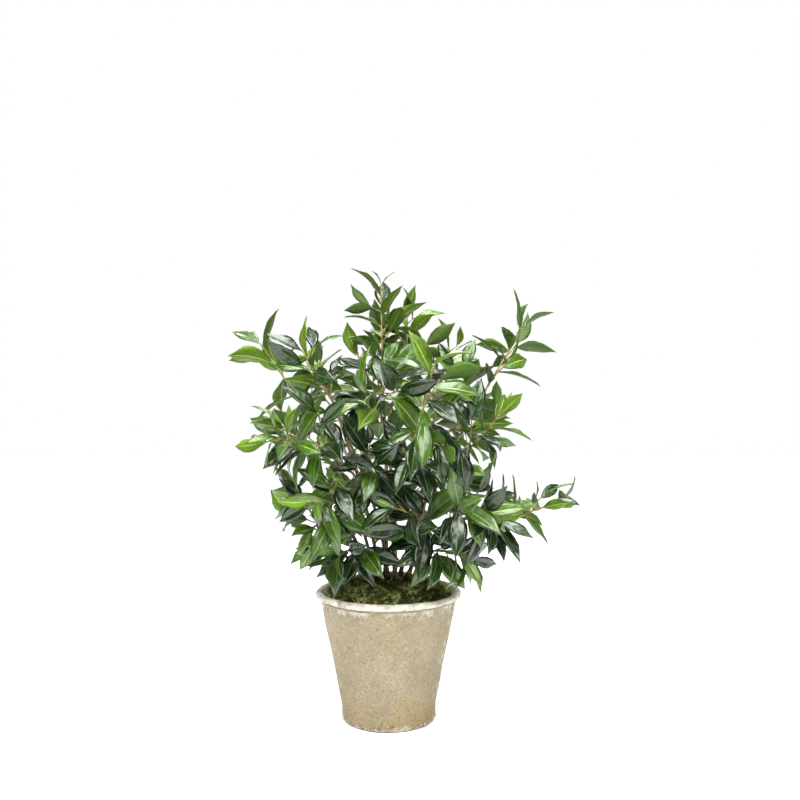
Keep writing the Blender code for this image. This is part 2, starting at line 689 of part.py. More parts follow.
def fuse(item, pieces):
    """Join pieces to an object with one union, and drop what stays loose."""
    bench = new_collection("bench")
    for corners, faces in pieces:
        shape = bmesh.new()
        verts = [shape.verts.new(corner) for corner in corners]
        for face in faces:
            shape.faces.new([verts[index] for index in face])
        mesh = mesh_from_bmesh("piece", shape)
        bench.objects.link(bpy.data.objects.new("piece", mesh))
    union = item.modifiers.new("fuse", "BOOLEAN")
    union.operation = "UNION"
    union.operand_type = "COLLECTION"
    union.collection = bench
    apply_modifiers(item)
    for piece in list(bench.objects):
        mesh = piece.data
        bpy.data.objects.remove(piece)
        bpy.data.meshes.remove(mesh)
    bpy.data.collections.remove(bench)
    keep_largest(item.data)


def keep_largest(mesh):
    """Delete every loose part of a mesh but its largest."""
    shape = bmesh.new()
    shape.from_mesh(mesh)
    left = set(shape.verts)
    islands = []
    while left:
        island = [left.pop()]
        for vert in island:
            for edge in vert.link_edges:
                other = edge.other_vert(vert)
                if other in left:
                    left.remove(other)
                    island.append(other)
        islands.append(island)
    islands.sort(key=len)
    for island in islands[:-1]:
        bmesh.ops.delete(shape, geom=island, context="VERTS")
    shape.to_mesh(mesh)
    shape.free()


def build_foliage(group, cutters, limbs, space, material):
    """One fused solid for each shoot: its stem, side twigs and leaves."""
    shoots = []
    for name, parent_name, along, tip, count, length, first_turn, droop in SHOOTS:
        parent, _, rings, resolution = limbs[parent_name]
        shoot = branch_limb("leaves_" + name, parent, along, tip, SHOOT_RADIUS, SHOOT_TIP_RADIUS)
        mesh = limb_mesh(shoot, SHOOT_RINGS, SHOOT_SIDES_RESOLUTION)
        item = add_object(shoot.name, mesh, group, material)
        cut_clear(item, parent, rings, resolution, cutters)
        space.add_mesh(shoot.name, item.data)
        shoots.append((shoot, item, count, length, math.radians(first_turn), droop))
    twigs_of = {}
    for shoot, _, count, _, first_turn, _ in shoots:
        twigs_of[shoot.name] = grow_twigs(shoot, 1 + count // LEAVES_PER_TWIG, first_turn, space)
    for shoot, item, count, length, first_turn, droop in shoots:
        twigs = twigs_of[shoot.name]
        leaves = grow_leaves(shoot, twigs, count, length, first_turn, droop, space)
        pieces = [twig_solid(root, tip, TWIG_RADIUS, TWIG_TIP_RADIUS) for root, tip in twigs]
        pieces += [leaf_solid(leaf) for leaf in leaves]
        fuse(item, pieces)


def main():
    clear_scene()
    group = new_collection(OBJECT_NAME)
    cutters = new_collection("cutters")
    clay = make_material(*CLAY)
    bark = make_material(*BARK)
    leaf = make_material(*LEAF)
    pot = build_pot(group, clay)
    filling = build_filling(group, make_material(*FILLING))
    moss = build_moss(group, make_material(*MOSS))
    limbs = build_limbs(group, cutters, bark)
    space = Space()
    for item in (pot, filling, moss):
        space.add_mesh(item.name, item.data)
    for _, item, _, _ in limbs.values():
        space.add_mesh(item.name, item.data)
    build_foliage(group, cutters, limbs, space, leaf)


main()
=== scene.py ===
"""Looks of a bushy bay topiary in a weathered clay pot.

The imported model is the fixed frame. Detailed pieces stand for its pot, moss, stems, boughs and
foliage masses, each in the same place. Twigs and leaves grow again by the masses' own seeded
rule and are carried on to finer shoots, stalks and buds within the same reach.
All lengths are in metres, and the plant's front faces -Y.
"""
import math
import random

import bmesh
import bpy
import numpy as np
from mathutils import Matrix, Vector
from mathutils.bvhtree import BVHTree


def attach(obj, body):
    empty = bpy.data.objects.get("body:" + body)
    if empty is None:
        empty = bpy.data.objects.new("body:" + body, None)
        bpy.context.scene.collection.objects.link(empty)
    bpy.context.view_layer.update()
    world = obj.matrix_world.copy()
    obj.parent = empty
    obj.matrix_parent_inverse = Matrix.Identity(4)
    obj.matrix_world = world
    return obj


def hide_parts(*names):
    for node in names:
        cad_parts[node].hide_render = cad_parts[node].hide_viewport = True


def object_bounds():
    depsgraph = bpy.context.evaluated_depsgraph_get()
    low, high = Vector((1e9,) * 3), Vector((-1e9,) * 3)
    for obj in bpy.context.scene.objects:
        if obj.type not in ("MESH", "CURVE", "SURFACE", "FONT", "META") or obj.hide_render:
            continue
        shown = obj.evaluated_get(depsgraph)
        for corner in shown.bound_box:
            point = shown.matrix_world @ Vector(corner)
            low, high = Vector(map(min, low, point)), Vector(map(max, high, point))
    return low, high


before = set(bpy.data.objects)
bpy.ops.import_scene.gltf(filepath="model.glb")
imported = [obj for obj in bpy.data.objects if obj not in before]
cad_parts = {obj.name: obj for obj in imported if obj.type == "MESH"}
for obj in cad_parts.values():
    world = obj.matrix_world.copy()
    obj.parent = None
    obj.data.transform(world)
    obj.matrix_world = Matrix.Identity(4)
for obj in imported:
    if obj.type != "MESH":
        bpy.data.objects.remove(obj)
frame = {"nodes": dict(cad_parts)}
CAD_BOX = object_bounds()
BODY = "root"

# Camera and its frame, which is square
CAMERA_PLACE = (0.019, -1.455, 0.523)
CAMERA_LENS_MM = 39.6
SENSOR_MM = 36.0

# Pot, as in the solid it stands for
POT_HEIGHT = 0.211
POT_BASE_RADIUS = 0.0760
FOOT_BAND_HEIGHT = 0.028
FOOT_BAND_DRAFT = 0.06
POT_DRAFT = 0.2065
POT_WALL = 0.010
FOOT_ROUNDING = 0.0025
RIM_RADIUS = 0.1205
RIM_MOUTH_RADIUS = 0.1095
RIM_HEIGHT = 0.011
RIM_THROAT = 0.016
THROAT_START = POT_HEIGHT - RIM_THROAT
POT_SIDES = 96
POT_BODY_ROWS = 34
THROAT_EASE = 0.008
INSIDE_BOTTOM = 0.170
CORNER_INSET = 0.003
SAME_LEVEL = 0.0001

# Moss cushion
MOSS_UNDERSIDE = 0.180
MOSS_EDGE = 0.204
MOSS_TOP = 0.2260
MOSS_PLATEAU_RADIUS = 0.052
FILL_CLEARANCE = 0.0005

# Limbs
GAP = 0.0003
ROOT_FLARE = 0.35
ROOT_FLARE_LENGTH = 0.016
FOLLOW_PARENT = 0.45
NEARLY_UPRIGHT = 0.05

# Blade of a leaf: shape, then its bend, fold and twist in degrees
LEAF_WIDTH_RATIO = 0.42
LEAF_THICKNESS_RATIO = 0.020
LEAF_STATIONS = (0.32, 0.67)
STATION_FULLNESS = 1.06
BLADE_SKEW = 0.92
BLADE_ROUNDNESS = 0.85
LEAF_BEND = (18, 48)
LEAF_FOLD = (8, 20)
LEAF_TWIST = 26

# Shoots and their side twigs
GOLDEN_TURN = math.radians(137.5)
SHOOT_RADIUS = 0.0016
SHOOT_TIP_RADIUS = 0.0011
LEAVES_PER_TWIG = 11
TWIG_RADIUS = 0.0012
TWIG_TIP_RADIUS = 0.0009
TWIG_FIRST = 0.22
TWIG_STEP = 0.30
TWIG_STEP_SPREAD = 0.04
TWIG_SHARE = 0.55
TWIG_LONGEST = 0.048
TWIG_SHORTEST = 0.026
TWIG_LENGTH_SPREAD = (0.85, 1.10)
TWIG_LEAN = (38, 52)
TWIG_RISE = 0.15

# Leaves on a side twig: share of the twig, turn past the first, pitch in degrees, size
TWIG_LEAVES = (
    (0.98, 0.0, 12, 0.92),
    (0.78, 1.2, 50, 0.90),
    (0.50, 4.3, 58, 0.96),
)

# Leaves on a shoot, from the lowest to the one at its tip
LEAVES_START = 0.10
LEAVES_END = 0.98
LEAVES_CROWDING = 0.85
LOWEST_PITCH = 70
TIP_PITCH = 14
PITCH_CURVE = 1.6
LOWEST_SIZE = 1.00
MIDDLE_GAIN = 0.07
TIP_LOSS = 0.18
LENGTH_SPREAD = (0.90, 1.10)
TURN_SPREAD = 14
PITCH_SPREAD = 7

# Other turns tried, in degrees, where a leaf or twig has no room, and the light it faces
TRY_TURNS = (0, 24, -24, 48, -48, 75, -75)
TRY_SHRINK = 0.03
CROWN_AXIS_X = 0.019
FULL_LIGHT_RADIUS = 0.10
FACE_OUT = 0.45
FACE_UP = 0.25

# Space the crown keeps to
CROWN_LEFT = -0.274
CROWN_RIGHT = 0.313
CROWN_DEPTH = 0.285
CROWN_TOP = 0.750
CROWN_BOTTOM = 0.214

# name, foot x and y, tip, sideways bow, diameters at foot and tip
STEMS = (
    ("stem_leader", (-0.006, 0.010), (-0.008, 0.002, 0.520), (0.004, 0.002, 0),
     0.0070, 0.0044),
    ("stem_left", (-0.015, -0.016), (-0.087, -0.100, 0.423), (-0.012, 0.0, 0),
     0.0064, 0.0044),
    ("stem_left_high", (0.000, -0.010), (-0.046, -0.058, 0.420), (0.008, -0.004, 0),
     0.0062, 0.0044),
    ("stem_upper_left", (-0.024, 0.024), (-0.112, -0.008, 0.470), (0.012, -0.004, 0),
     0.0062, 0.0042),
    ("stem_left_low", (-0.030, 0.004), (-0.092, -0.026, 0.300), (-0.010, 0.004, 0.004),
     0.0056, 0.0040),
    ("stem_front", (0.012, -0.026), (0.038, -0.122, 0.455), (-0.014, 0.010, 0),
     0.0062, 0.0042),
    ("stem_right", (0.018, 0.014), (0.083, -0.020, 0.401), (-0.006, 0.010, 0),
     0.0066, 0.0048),
    ("stem_right_low", (0.026, -0.010), (0.104, -0.100, 0.337), (-0.004, 0.004, 0.008),
     0.0062, 0.0044),
    ("stem_front_low", (0.044, -0.006), (0.062, -0.074, 0.278), (0.004, -0.006, 0.006),
     0.0054, 0.0040),
    ("stem_rear_right", (0.034, 0.034), (0.078, 0.080, 0.490), (0.008, 0.008, 0),
     0.0064, 0.0044),
    ("stem_rear", (0.010, 0.044), (-0.014, 0.110, 0.490), (0.010, 0.004, 0),
     0.0064, 0.0044),
    ("stem_rear_left", (-0.016, 0.046), (-0.084, 0.102, 0.475), (0.006, 0.006, 0),
     0.0064, 0.0044),
    ("stem_rear_low", (0.046, 0.016), (0.104, 0.052, 0.305), (-0.004, 0.004, 0.008),
     0.0058, 0.0042),
)

# name, parent, share of the parent's length where it leaves, tip, diameters at root and tip
BOUGHS = (
    ("bough_left", "stem_left", 1.0, (-0.122, -0.112, 0.448), 0.0040, 0.0036),
    ("bough_left_high", "stem_left_high", 1.0, (-0.080, -0.066, 0.505), 0.0042, 0.0036),
    ("bough_centre_left", "stem_left_high", 0.88, (-0.030, -0.082, 0.482), 0.0040, 0.0034),
    ("bough_right_high", "stem_right", 1.0, (0.112, -0.012, 0.455), 0.0046, 0.0040),
    ("bough_upper_right", "bough_right_high", 1.0, (0.158, -0.004, 0.536), 0.0038, 0.0034),
    ("bough_right", "stem_right", 0.86, (0.116, -0.040, 0.430), 0.0040, 0.0034),
    ("bough_right_low", "stem_right_low", 1.0, (0.160, -0.084, 0.336), 0.0042, 0.0036),
    ("bough_right_skirt", "stem_right_low", 0.34, (0.094, -0.098, 0.288), 0.0040, 0.0034),
    ("bough_top_right", "stem_leader", 0.80, (0.022, 0.036, 0.560), 0.0040, 0.0034),
    ("bough_rear_left", "stem_rear_left", 0.62, (-0.126, 0.112, 0.432), 0.0040, 0.0034),
)

# name, parent, share of its length, tip, leaves, leaf length, first turn, droop, share of
# young leaves
SHOOTS = (
    ("top", "stem_leader", 1.0, (-0.012, 0.000, 0.712), 16, 0.080, 20, 0.00, 0.50),
    ("top_right", "bough_top_right", 1.0, (0.031, 0.068, 0.663), 12, 0.076, 330, 0.17, 0.75),
    ("top_left", "stem_leader", 0.84, (-0.053, 0.036, 0.599), 11, 0.086, 40, 0.27, 0.40),
    ("high_left", "bough_left_high", 1.0, (-0.133, -0.080, 0.599), 13, 0.082, 300, 0.30, 0.20),
    ("centre_left", "bough_centre_left", 1.0, (0.007, -0.123, 0.563), 12, 0.086, 240, 0.19, 0.35),
    ("upper_left", "stem_upper_left", 1.0, (-0.215, 0.017, 0.617), 14, 0.088, 180, 0.00, 0.95),
    ("left", "bough_left", 1.0, (-0.161, -0.141, 0.467), 12, 0.074, 100, 0.07, 0.90),
    ("left_inner", "stem_left", 0.8, (-0.101, -0.162, 0.503), 11, 0.088, 160, 0.13, 0.15),
    ("middle_left", "stem_left", 0.62, (-0.094, -0.163, 0.369), 11, 0.084, 30, 0.45, 0.30),
    ("left_skirt", "stem_left", 0.26, (-0.074, -0.093, 0.283), 10, 0.080, 110, 0.50, 0.05),
    ("middle", "stem_left_high", 0.7, (-0.027, -0.119, 0.454), 11, 0.088, 270, 0.30, 0.05),
    ("left_low", "stem_left_low", 1.0, (-0.155, -0.052, 0.376), 12, 0.072, 330, 0.05, 0.45),
    ("left_lowest", "stem_left_low", 0.66, (-0.114, -0.086, 0.323), 9, 0.070, 60, 0.05, 0.55),
    ("front_high", "stem_front", 1.0, (0.068, -0.181, 0.574), 13, 0.088, 0, 0.47, 0.35),
    ("front_mid", "stem_front", 0.66, (0.066, -0.155, 0.465), 11, 0.084, 150, 0.30, 0.05),
    ("front_low", "stem_right_low", 0.62, (0.009, -0.132, 0.362), 10, 0.088, 330, 0.36, 0.05),
    ("front_low_right", "stem_right_low", 0.82, (0.118, -0.162, 0.390), 11, 0.088, 210, 0.05, 0.40),
    ("right_low", "bough_right_low", 1.0, (0.272, -0.066, 0.365), 13, 0.064, 120, 0.01, 0.75),
    ("right_under", "bough_right_low", 0.45, (0.169, -0.140, 0.343), 10, 0.078, 270, 0.03, 0.20),
    ("right_skirt", "bough_right_skirt", 1.0, (0.125, -0.110, 0.283), 9, 0.068, 240, 0.37, 0.40),
    ("front_skirt", "stem_front_low", 1.0, (0.079, -0.112, 0.296), 9, 0.076, 210, 0.65, 0.05),
    ("right_mid", "stem_right", 0.7, (0.104, -0.080, 0.412), 11, 0.088, 290, 0.03, 0.15),
    ("right", "bough_right", 1.0, (0.177, -0.046, 0.498), 10, 0.076, 240, 0.10, 0.65),
    ("right_high", "bough_right_high", 0.84, (0.125, -0.021, 0.571), 11, 0.080, 40, 0.00, 0.25),
    ("upper_right", "bough_upper_right", 1.0, (0.228, 0.018, 0.649), 13, 0.077, 300, 0.00, 0.45),
    ("rear_right_high", "stem_rear_right", 1.0, (0.105, 0.097, 0.613), 13, 0.074, 130, 0.22, 0.50),
    ("rear_right", "stem_rear_right", 0.78, (0.176, 0.116, 0.500), 12, 0.085, 285, 0.00, 0.45),
    ("rear_top", "stem_rear", 1.0, (-0.020, 0.118, 0.640), 13, 0.082, 320, 0.10, 0.50),
    ("rear", "stem_rear", 0.74, (0.033, 0.199, 0.510), 12, 0.076, 140, 0.15, 0.35),
    ("rear_left_high", "stem_rear_left", 1.0, (-0.122, 0.124, 0.590), 13, 0.076, 100, 0.05, 0.50),
    ("rear_left", "bough_rear_left", 1.0, (-0.167, 0.143, 0.468), 12, 0.082, 330, 0.37, 0.50),
    ("rear_low_left", "stem_rear_left", 0.36, (-0.099, 0.166, 0.369), 11, 0.082, 100, 0.13, 0.35),
    ("rear_low", "stem_rear", 0.36, (0.055, 0.172, 0.355), 11, 0.086, 140, 0.30, 0.30),
    ("rear_right_low", "stem_rear_low", 1.0, (0.194, 0.081, 0.356), 12, 0.074, 180, 0.27, 0.40),
)

# Finer growth between a shoot's own leaves; each leaf is its share of the twig, its turn past
# the first and its pitch in degrees
FINE_TWIGS = 3
FINE_TWIG_SPREAD = (0.3, 0.9)
FINE_TWIG_LENGTH = (0.014, 0.026)
FINE_TWIG_LEAN = (40, 62)
FINE_TWIG_RADIUS = 0.0009
FINE_TWIG_TIP_RADIUS = 0.0006
FINE_LEAF_SIZE = (0.58, 0.82)
FINE_LEAVES = ((1.0, 0.0, 10), (0.80, 2.2, 48), (0.62, 5.0, 55))
TIP_LEAF_SIZE = (0.34, 0.46)
TIP_LEAF_PITCHES = (10, 26)
TIP_LEAF_TURN_SPREAD = 0.5

# Detailed blade: rows along it, the edges of its groove and of its crown as shares of its
# half-width, and its relief as shares of its length
BLADE_ROWS = 12
GROOVE_EDGE = 0.04
SHOULDER = 0.55
STALK_SHARE = 0.075
STALK_HALF_WIDTH = 0.012
BLADE_THICKNESS = 0.006
MIDRIB_GROOVE = 0.004
MIDRIB_RIDGE = 0.008
CROWN_RISE = 0.016
FINE_SKEW = 0.90
FINE_ROUNDNESS = 0.98
SLIMNESS = (0.78, 1.0)
MARGIN_WAVE = 0.10
MARGIN_WAVES = 1.6
MARGIN_OFFSET = 0.9
MARGIN_TEETH = 0.015
TIP_DRAWN_FROM = 0.70
TIP_DRAWN_BY = 0.50
VEIN_PAIRS = 6
VEIN_SWEEP = 1.6


# ---------------------------------------------------------------- small tools

def linear(code):
    """A colour as the shader reads it, from its sRGB hex code."""
    shares = [int(code[place:place + 2], 16) / 255 for place in (1, 3, 5)]
    curved = [s / 12.92 if s <= 0.04045 else ((s + 0.055) / 1.055) ** 2.4 for s in shares]
    return (*curved, 1.0)


def connect(tree, value, socket):
    """Set a socket to a value or a hex colour, or feed it from a node or another socket."""
    if isinstance(value, bpy.types.Node):
        value = next(output for output in value.outputs if output.enabled)
    if isinstance(value, bpy.types.NodeSocket):
        tree.links.new(value, socket)
    else:
        socket.default_value = linear(value) if isinstance(value, str) else value


def add_node(tree, kind, inputs=(), **settings):
    """A node with its settings; its inputs are given by name, or as a tuple in their order."""
    node = tree.nodes.new("ShaderNode" + kind)
    for name, value in settings.items():
        setattr(node, name, value)
    if isinstance(inputs, dict):
        given = [(node.inputs[name], value) for name, value in inputs.items()]
    else:
        given = zip([socket for socket in node.inputs if socket.enabled], inputs)
    for socket, value in given:
        connect(tree, value, socket)
    return node


def new_material(name, roughness, specular=0.5):
    """A material, its node tree and its shader."""
    material = bpy.data.materials.new(name)
    material.use_nodes = True
    shader = material.node_tree.nodes["Principled BSDF"]
    shader.inputs["Roughness"].default_value = roughness
    shader.inputs["Specular IOR Level"].default_value = specular
    return material, material.node_tree, shader


def deselect():
    if bpy.context.object and bpy.context.object.mode != "OBJECT":
        bpy.ops.object.mode_set(mode="OBJECT")
    bpy.ops.object.select_all(action="DESELECT")


def activate(item):
    deselect()
    item.select_set(True)
    bpy.context.view_layer.objects.active = item


def pick(item, test, kind="VERT"):
    """Select, in edit mode, the corners or faces whose place passes a test."""
    bpy.ops.object.mode_set(mode="EDIT")
    bpy.ops.mesh.select_mode(type=kind)
    bpy.ops.mesh.select_all(action="DESELECT")
    shape = bmesh.from_edit_mesh(item.data)
    if kind == "FACE":
        for face in shape.faces:
            face.select_set(test(face.calc_center_median()))
    else:
        for vert in shape.verts:
            vert.select_set(test(vert.co))
        shape.select_flush(True)
    bmesh.update_edit_mesh(item.data)


def apply_all(item):
    activate(item)
    for modifier in list(item.modifiers):
        bpy.ops.object.modifier_apply(modifier=modifier.name)


def link(name, data):
    """A new object in the scene."""
    item = bpy.data.objects.new(name, data)
    bpy.context.scene.collection.objects.link(item)
    return item


def settle(item, materials, replaced):
    """Dress a finished piece and set it on the plant's body in place of its solids."""
    for material in materials:
        item.data.materials.append(material)
    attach(item, BODY)
    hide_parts(*replaced)


def joined(name, shapes, slots=None, uv=None):
    """One mesh object from many shapes of corners and faces, all with the same slots and uv."""
    corners = []
    faces = []
    for shape_corners, shape_faces in shapes:
        start = len(corners)
        faces += [tuple(start + index for index in face) for face in shape_faces]
        corners += [tuple(corner) for corner in shape_corners]
    mesh = bpy.data.meshes.new(name)
    mesh.from_pydata(corners, [], faces)
    if slots is not None:
        mesh.polygons.foreach_set("material_index", slots * len(shapes))
        layer = mesh.uv_layers.new(name="blade")
        layer.data.foreach_set("uv", np.tile(uv.ravel(), len(shapes)))
    mesh.shade_smooth()
    return link(name, mesh)


# ---------------------------------------------------------------- finishes

def painted(tree, colour, layers):
    """A ground colour with layers over it, and the last layer's share.

    Each layer is its colour, the pattern it follows, the levels of the pattern where it starts
    and is full, and its largest share.
    """
    for paint, pattern, low, high, most in layers:
        share = add_node(tree, "MapRange", (pattern, low, high, 0.0, most))
        colour = add_node(tree, "Mix", (share, colour, paint), data_type="RGBA")
    return colour, share


def dress(tree, colour, relief=None, strength=0.0, depth=0.0):
    """Give the shader its colour and, from a relief, its bump of a depth in metres."""
    shader = tree.nodes["Principled BSDF"]
    connect(tree, colour, shader.inputs["Base Color"])
    if relief is not None:
        bump = add_node(tree, "Bump", {"Strength": strength, "Distance": depth, "Height": relief})
        connect(tree, bump, shader.inputs["Normal"])


def mottled_finish(name, roughness, specular, grain, dark, light, levels=(0.0, 1.0), bump=None):
    """A finish mottled from dark to light; grain is its noise's scale, detail and roughness."""
    material, tree, _ = new_material(name, roughness, specular)
    place = add_node(tree, "TexCoord").outputs["Object"]
    mottle = add_node(tree, "TexNoise", (place, *grain))
    colour, _ = painted(tree, dark, ((light, mottle, *levels, 1.0),))
    if bump:
        dress(tree, colour, mottle, *bump)
    else:
        dress(tree, colour)
    return material


def soft_leaf_back(name, blade, blade_light):
    """Underside of the leaf: matt yellow-green, with a grain of 8 mm, lighter than the top."""
    return mottled_finish(name, 0.55, 0.2, (120.0, 4.0, 0.5), blade, blade_light,
                          bump=(0.3, 0.0006))


def leaf_rib(name, colour, colour_light):
    """Midrib and stalk: pale smooth ribs, mottled over 5 mm, that stand out against the blade."""
    return mottled_finish(name, 0.45, 0.5, (200.0, 2.0, 0.5), colour, colour_light)


def dried_moss(name, dark, light):
    """Dried moss: matt, mottled from dark to light in clumps of 6 mm."""
    return mottled_finish(name, 0.9, 0.15, (160.0, 5.0, 0.7), dark, light, (0.35, 0.65),
                          (0.8, 0.002))


def packing_foam(name):
    """Brown florist's foam: dull, with pores of 1 mm. It fills the pot under the moss, unseen."""
    return mottled_finish(name, 0.95, 0.5, (900.0, 2.0, 0.5), "#2e241a", "#5a4834")


def waxy_leaf_face(name, blade, blade_dark, vein, roughness):
    """Leathery leaf, waxed on top: deep colour under a broad gloss, broken by veins and dents."""
    material, tree, shader = new_material(name, roughness, 0.55)
    shader.inputs["Specular Tint"].default_value = (0.98, 1.0, 0.94, 1.0)
    coordinates = add_node(tree, "TexCoord")
    place = coordinates.outputs["Object"]
    on_blade = add_node(tree, "SeparateXYZ", (coordinates.outputs["UV"],))
    # Dents about 15 mm across, blotches of 14 mm and a leathery grain of 1.2 mm
    dents = add_node(tree, "TexNoise", (place, 65.0, 1.0))
    blotch = add_node(tree, "TexNoise", (place, 70.0, 3.0))
    grain = add_node(tree, "TexNoise", (place, 800.0, 2.0))
    # Side veins leave the midrib steeply, curve on towards the tip and waver with the blotches
    across = add_node(tree, "Math", (on_blade.outputs["Y"], 2.0, -1.0), operation="MULTIPLY_ADD")
    from_midrib = add_node(tree, "Math", (across,), operation="ABSOLUTE")
    curved = add_node(tree, "Math", (from_midrib, 1.4), operation="POWER")
    along = add_node(tree, "Math", (on_blade.outputs["X"], VEIN_PAIRS), operation="MULTIPLY")
    swept = add_node(tree, "Math", (curved, -VEIN_SWEEP, along), operation="MULTIPLY_ADD")
    uneven = add_node(tree, "Math", (blotch, 1.2, swept), operation="MULTIPLY_ADD")
    half_turns = add_node(tree, "Math", (uneven, math.pi), operation="MULTIPLY")
    wave = add_node(tree, "Math", (half_turns,), operation="SINE")
    # The blade bulges between its side veins, which are the lighter troughs
    bulge = add_node(tree, "Math", (wave, wave), operation="MULTIPLY")
    colour, _ = painted(tree, blade_dark, (
        (blade, blotch, 0.35, 0.65, 1.0),
        (vein, bulge, 0.12, 0.0, 0.30),
    ))
    quilting = add_node(tree, "Math", (bulge, 0.6), operation="MULTIPLY")
    fine_relief = add_node(tree, "Math", (grain, 0.20, quilting), operation="MULTIPLY_ADD")
    relief = add_node(tree, "Math", (dents, 4.0, fine_relief), operation="MULTIPLY_ADD")
    dress(tree, colour, relief, 0.6, 0.00035)
    return material


def shrub_bark(name, dark, middle, light, relief):
    """Thin bark of a young shrub: brown, drawn out along the stem, with paler olive patches.

    It has painted shade low down: fewer paler patches, and so darker bark, where the stems
    crowd together above the moss.
    """
    material, tree, _ = new_material(name, 0.62, 0.35)
    place = add_node(tree, "TexCoord").outputs["Object"]
    height = add_node(tree, "SeparateXYZ", (place,)).outputs["Z"]
    # Streaks 1 mm wide and 6 mm long, and patches about 15 mm long
    stretched = add_node(tree, "Mapping", {"Vector": place, "Scale": (1.0, 1.0, 0.16)})
    streaks = add_node(tree, "TexNoise", (stretched, 900.0, 4.0, 0.65))
    patches = add_node(tree, "TexNoise", (place, 65.0, 3.0))
    # Painted shade: fewer pale patches, and so darker bark, below about 0.42 m
    painted_shade_low_down = add_node(tree, "MapRange", (height, 0.25, 0.42, -0.12, 0.05))
    patches_and_low_shade = add_node(tree, "Math", (patches, painted_shade_low_down), operation="ADD")
    colour, _ = painted(tree, dark, (
        (middle, streaks, 0.0, 1.0, 1.0),
        (light, patches_and_low_shade, 0.42, 0.60, 0.85),
    ))
    dress(tree, colour, streaks, 0.6, relief)
    return material


def weathered_clay(name):
    """Pale fired clay, aged outdoors: sandy and speckled, limed white at rim and foot, with painted
    light whitening both flanks as seen from the front, painted shade and grime in the line under
    the rim, a painted shade line round the foot, ochre stains near the foot and small dark pits."""
    material, tree, _ = new_material(name, 0.9, 0.35)
    place = add_node(tree, "TexCoord").outputs["Object"]
    spot = add_node(tree, "SeparateXYZ", (place,))
    height = spot.outputs["Z"]
    # Cloudy tone over 60 mm, blotches over 14 mm, sand grain of 6 mm and 3 mm, grit of 2.5 mm,
    # which is drawn coarser than the real 1 mm so that it shows, and pits 1 to 3 mm wide
    cloud, blotch, coarse, sand, grit, pits = (
        add_node(tree, "TexNoise", (place, *grain)) for grain in (
            (17.0, 4.0, 0.6), (70.0, 5.0, 0.65), (170.0, 3.0, 0.6), (330.0, 2.0, 0.6),
            (400.0, 2.0, 0.7), (260.0, 1.0, 0.4)))
    # Levels in metres, and what each effect has below and above them: ochre on the lowest
    # third, lime at the rim and the foot, grit where rain has washed the skin off, painted shade
    # round the foot, and pits at the foot and the rim
    ochre, rim_lime, foot_lime, washed, foot_painted_shade, foot_pits, rim_pits = (
        add_node(tree, "MapRange", (height, *levels)) for levels in (
            (0.015, 0.085, 0.14, -0.14), (0.176, 0.204, -0.16, 0.20),
            (0.003, 0.013, 0.20, -0.16), (0.02, 0.16, 0.80, 0.45), (0.0008, 0.0032, 0.95, 0.0),
            (0.006, 0.022, 0.11, 0.0), (0.190, 0.207, 0.0, 0.015)))
    stain = add_node(tree, "Math", (cloud, ochre), operation="ADD")
    # Painted light: both flanks, as seen from the front, are whitened in the lime's colour to stand
    # for the light that grazes the pot's sides
    sideways = add_node(tree, "Math", (spot.outputs["X"],), operation="ABSOLUTE")
    reach = add_node(tree, "Math", (height, POT_DRAFT, POT_BASE_RADIUS), operation="MULTIPLY_ADD")
    flank = add_node(tree, "Math", (sideways, reach), operation="DIVIDE")
    flank_painted_light = add_node(tree, "MapRange", (flank, 0.78, 1.0, -0.16, 0.12))
    end_lime = add_node(tree, "Math", (rim_lime, foot_lime), operation="MAXIMUM")
    lime_and_flank_light = add_node(tree, "Math", (end_lime, flank_painted_light), operation="MAXIMUM")
    lime_and_painted_light = add_node(tree, "Math", (blotch, lime_and_flank_light), operation="ADD")
    grains = add_node(tree, "MapRange", (grit, 0.52, 0.66, 0.0, 1.0))
    bare_grit = add_node(tree, "Math", (grains, washed), operation="MULTIPLY")
    # Painted shade, with some dirt, in the line under the rim's bead, and painted shade round the
    # foot, broken up by the blotches
    off_line = add_node(tree, "Math", (height, POT_HEIGHT - RIM_HEIGHT - 0.0012),
                        operation="SUBTRACT")
    from_line = add_node(tree, "Math", (off_line,), operation="ABSOLUTE")
    rim_shade_and_dirt = add_node(tree, "MapRange", (from_line, 0.0006, 0.0030, 0.85, 0.0))
    lines = add_node(tree, "Math", (rim_shade_and_dirt, foot_painted_shade), operation="ADD")
    breaks = add_node(tree, "MapRange", (blotch, 0.38, 0.54, 0.05, 1.0))
    painted_shade_and_dirt = add_node(tree, "Math", (lines, breaks), operation="MULTIPLY")
    end_pits = add_node(tree, "Math", (rim_pits, foot_pits), operation="ADD")
    pitted = add_node(tree, "Math", (pits, end_pits), operation="ADD")
    # Paler clouds and grain on the clay, then stains, lime with painted light on the flanks, dark
    # sand, grit, painted shade with some dirt in the lines, and pits
    colour, pit_share = painted(tree, "#776d57", (
        ("#857c68", cloud, 0.35, 0.65, 1.0),
        ("#a09882", coarse, 0.48, 0.68, 0.34),
        ("#8a7443", stain, 0.50, 0.72, 0.50),
        # Lime at rim and foot, and painted light on both flanks
        ("#c6c4ba", lime_and_painted_light, 0.50, 0.80, 0.85),
        ("#73664f", sand, 0.52, 0.68, 0.40),
        ("#574a33", bare_grit, 0.0, 1.0, 1.0),
        # Painted shade, with some dirt, in the lines under the rim and round the foot
        ("#54432c", painted_shade_and_dirt, 0.0, 1.0, 1.0),
        ("#5c4a2e", pitted, 0.705, 0.76, 0.85),
    ))
    roughened = add_node(tree, "Math", (sand, 1.5, grit), operation="MULTIPLY_ADD")
    relief = add_node(tree, "Math", (pit_share, -1.5, roughened), operation="MULTIPLY_ADD")
    dress(tree, colour, relief, 0.7, 0.0012)
    return material


# ---------------------------------------------------------------- pot and moss

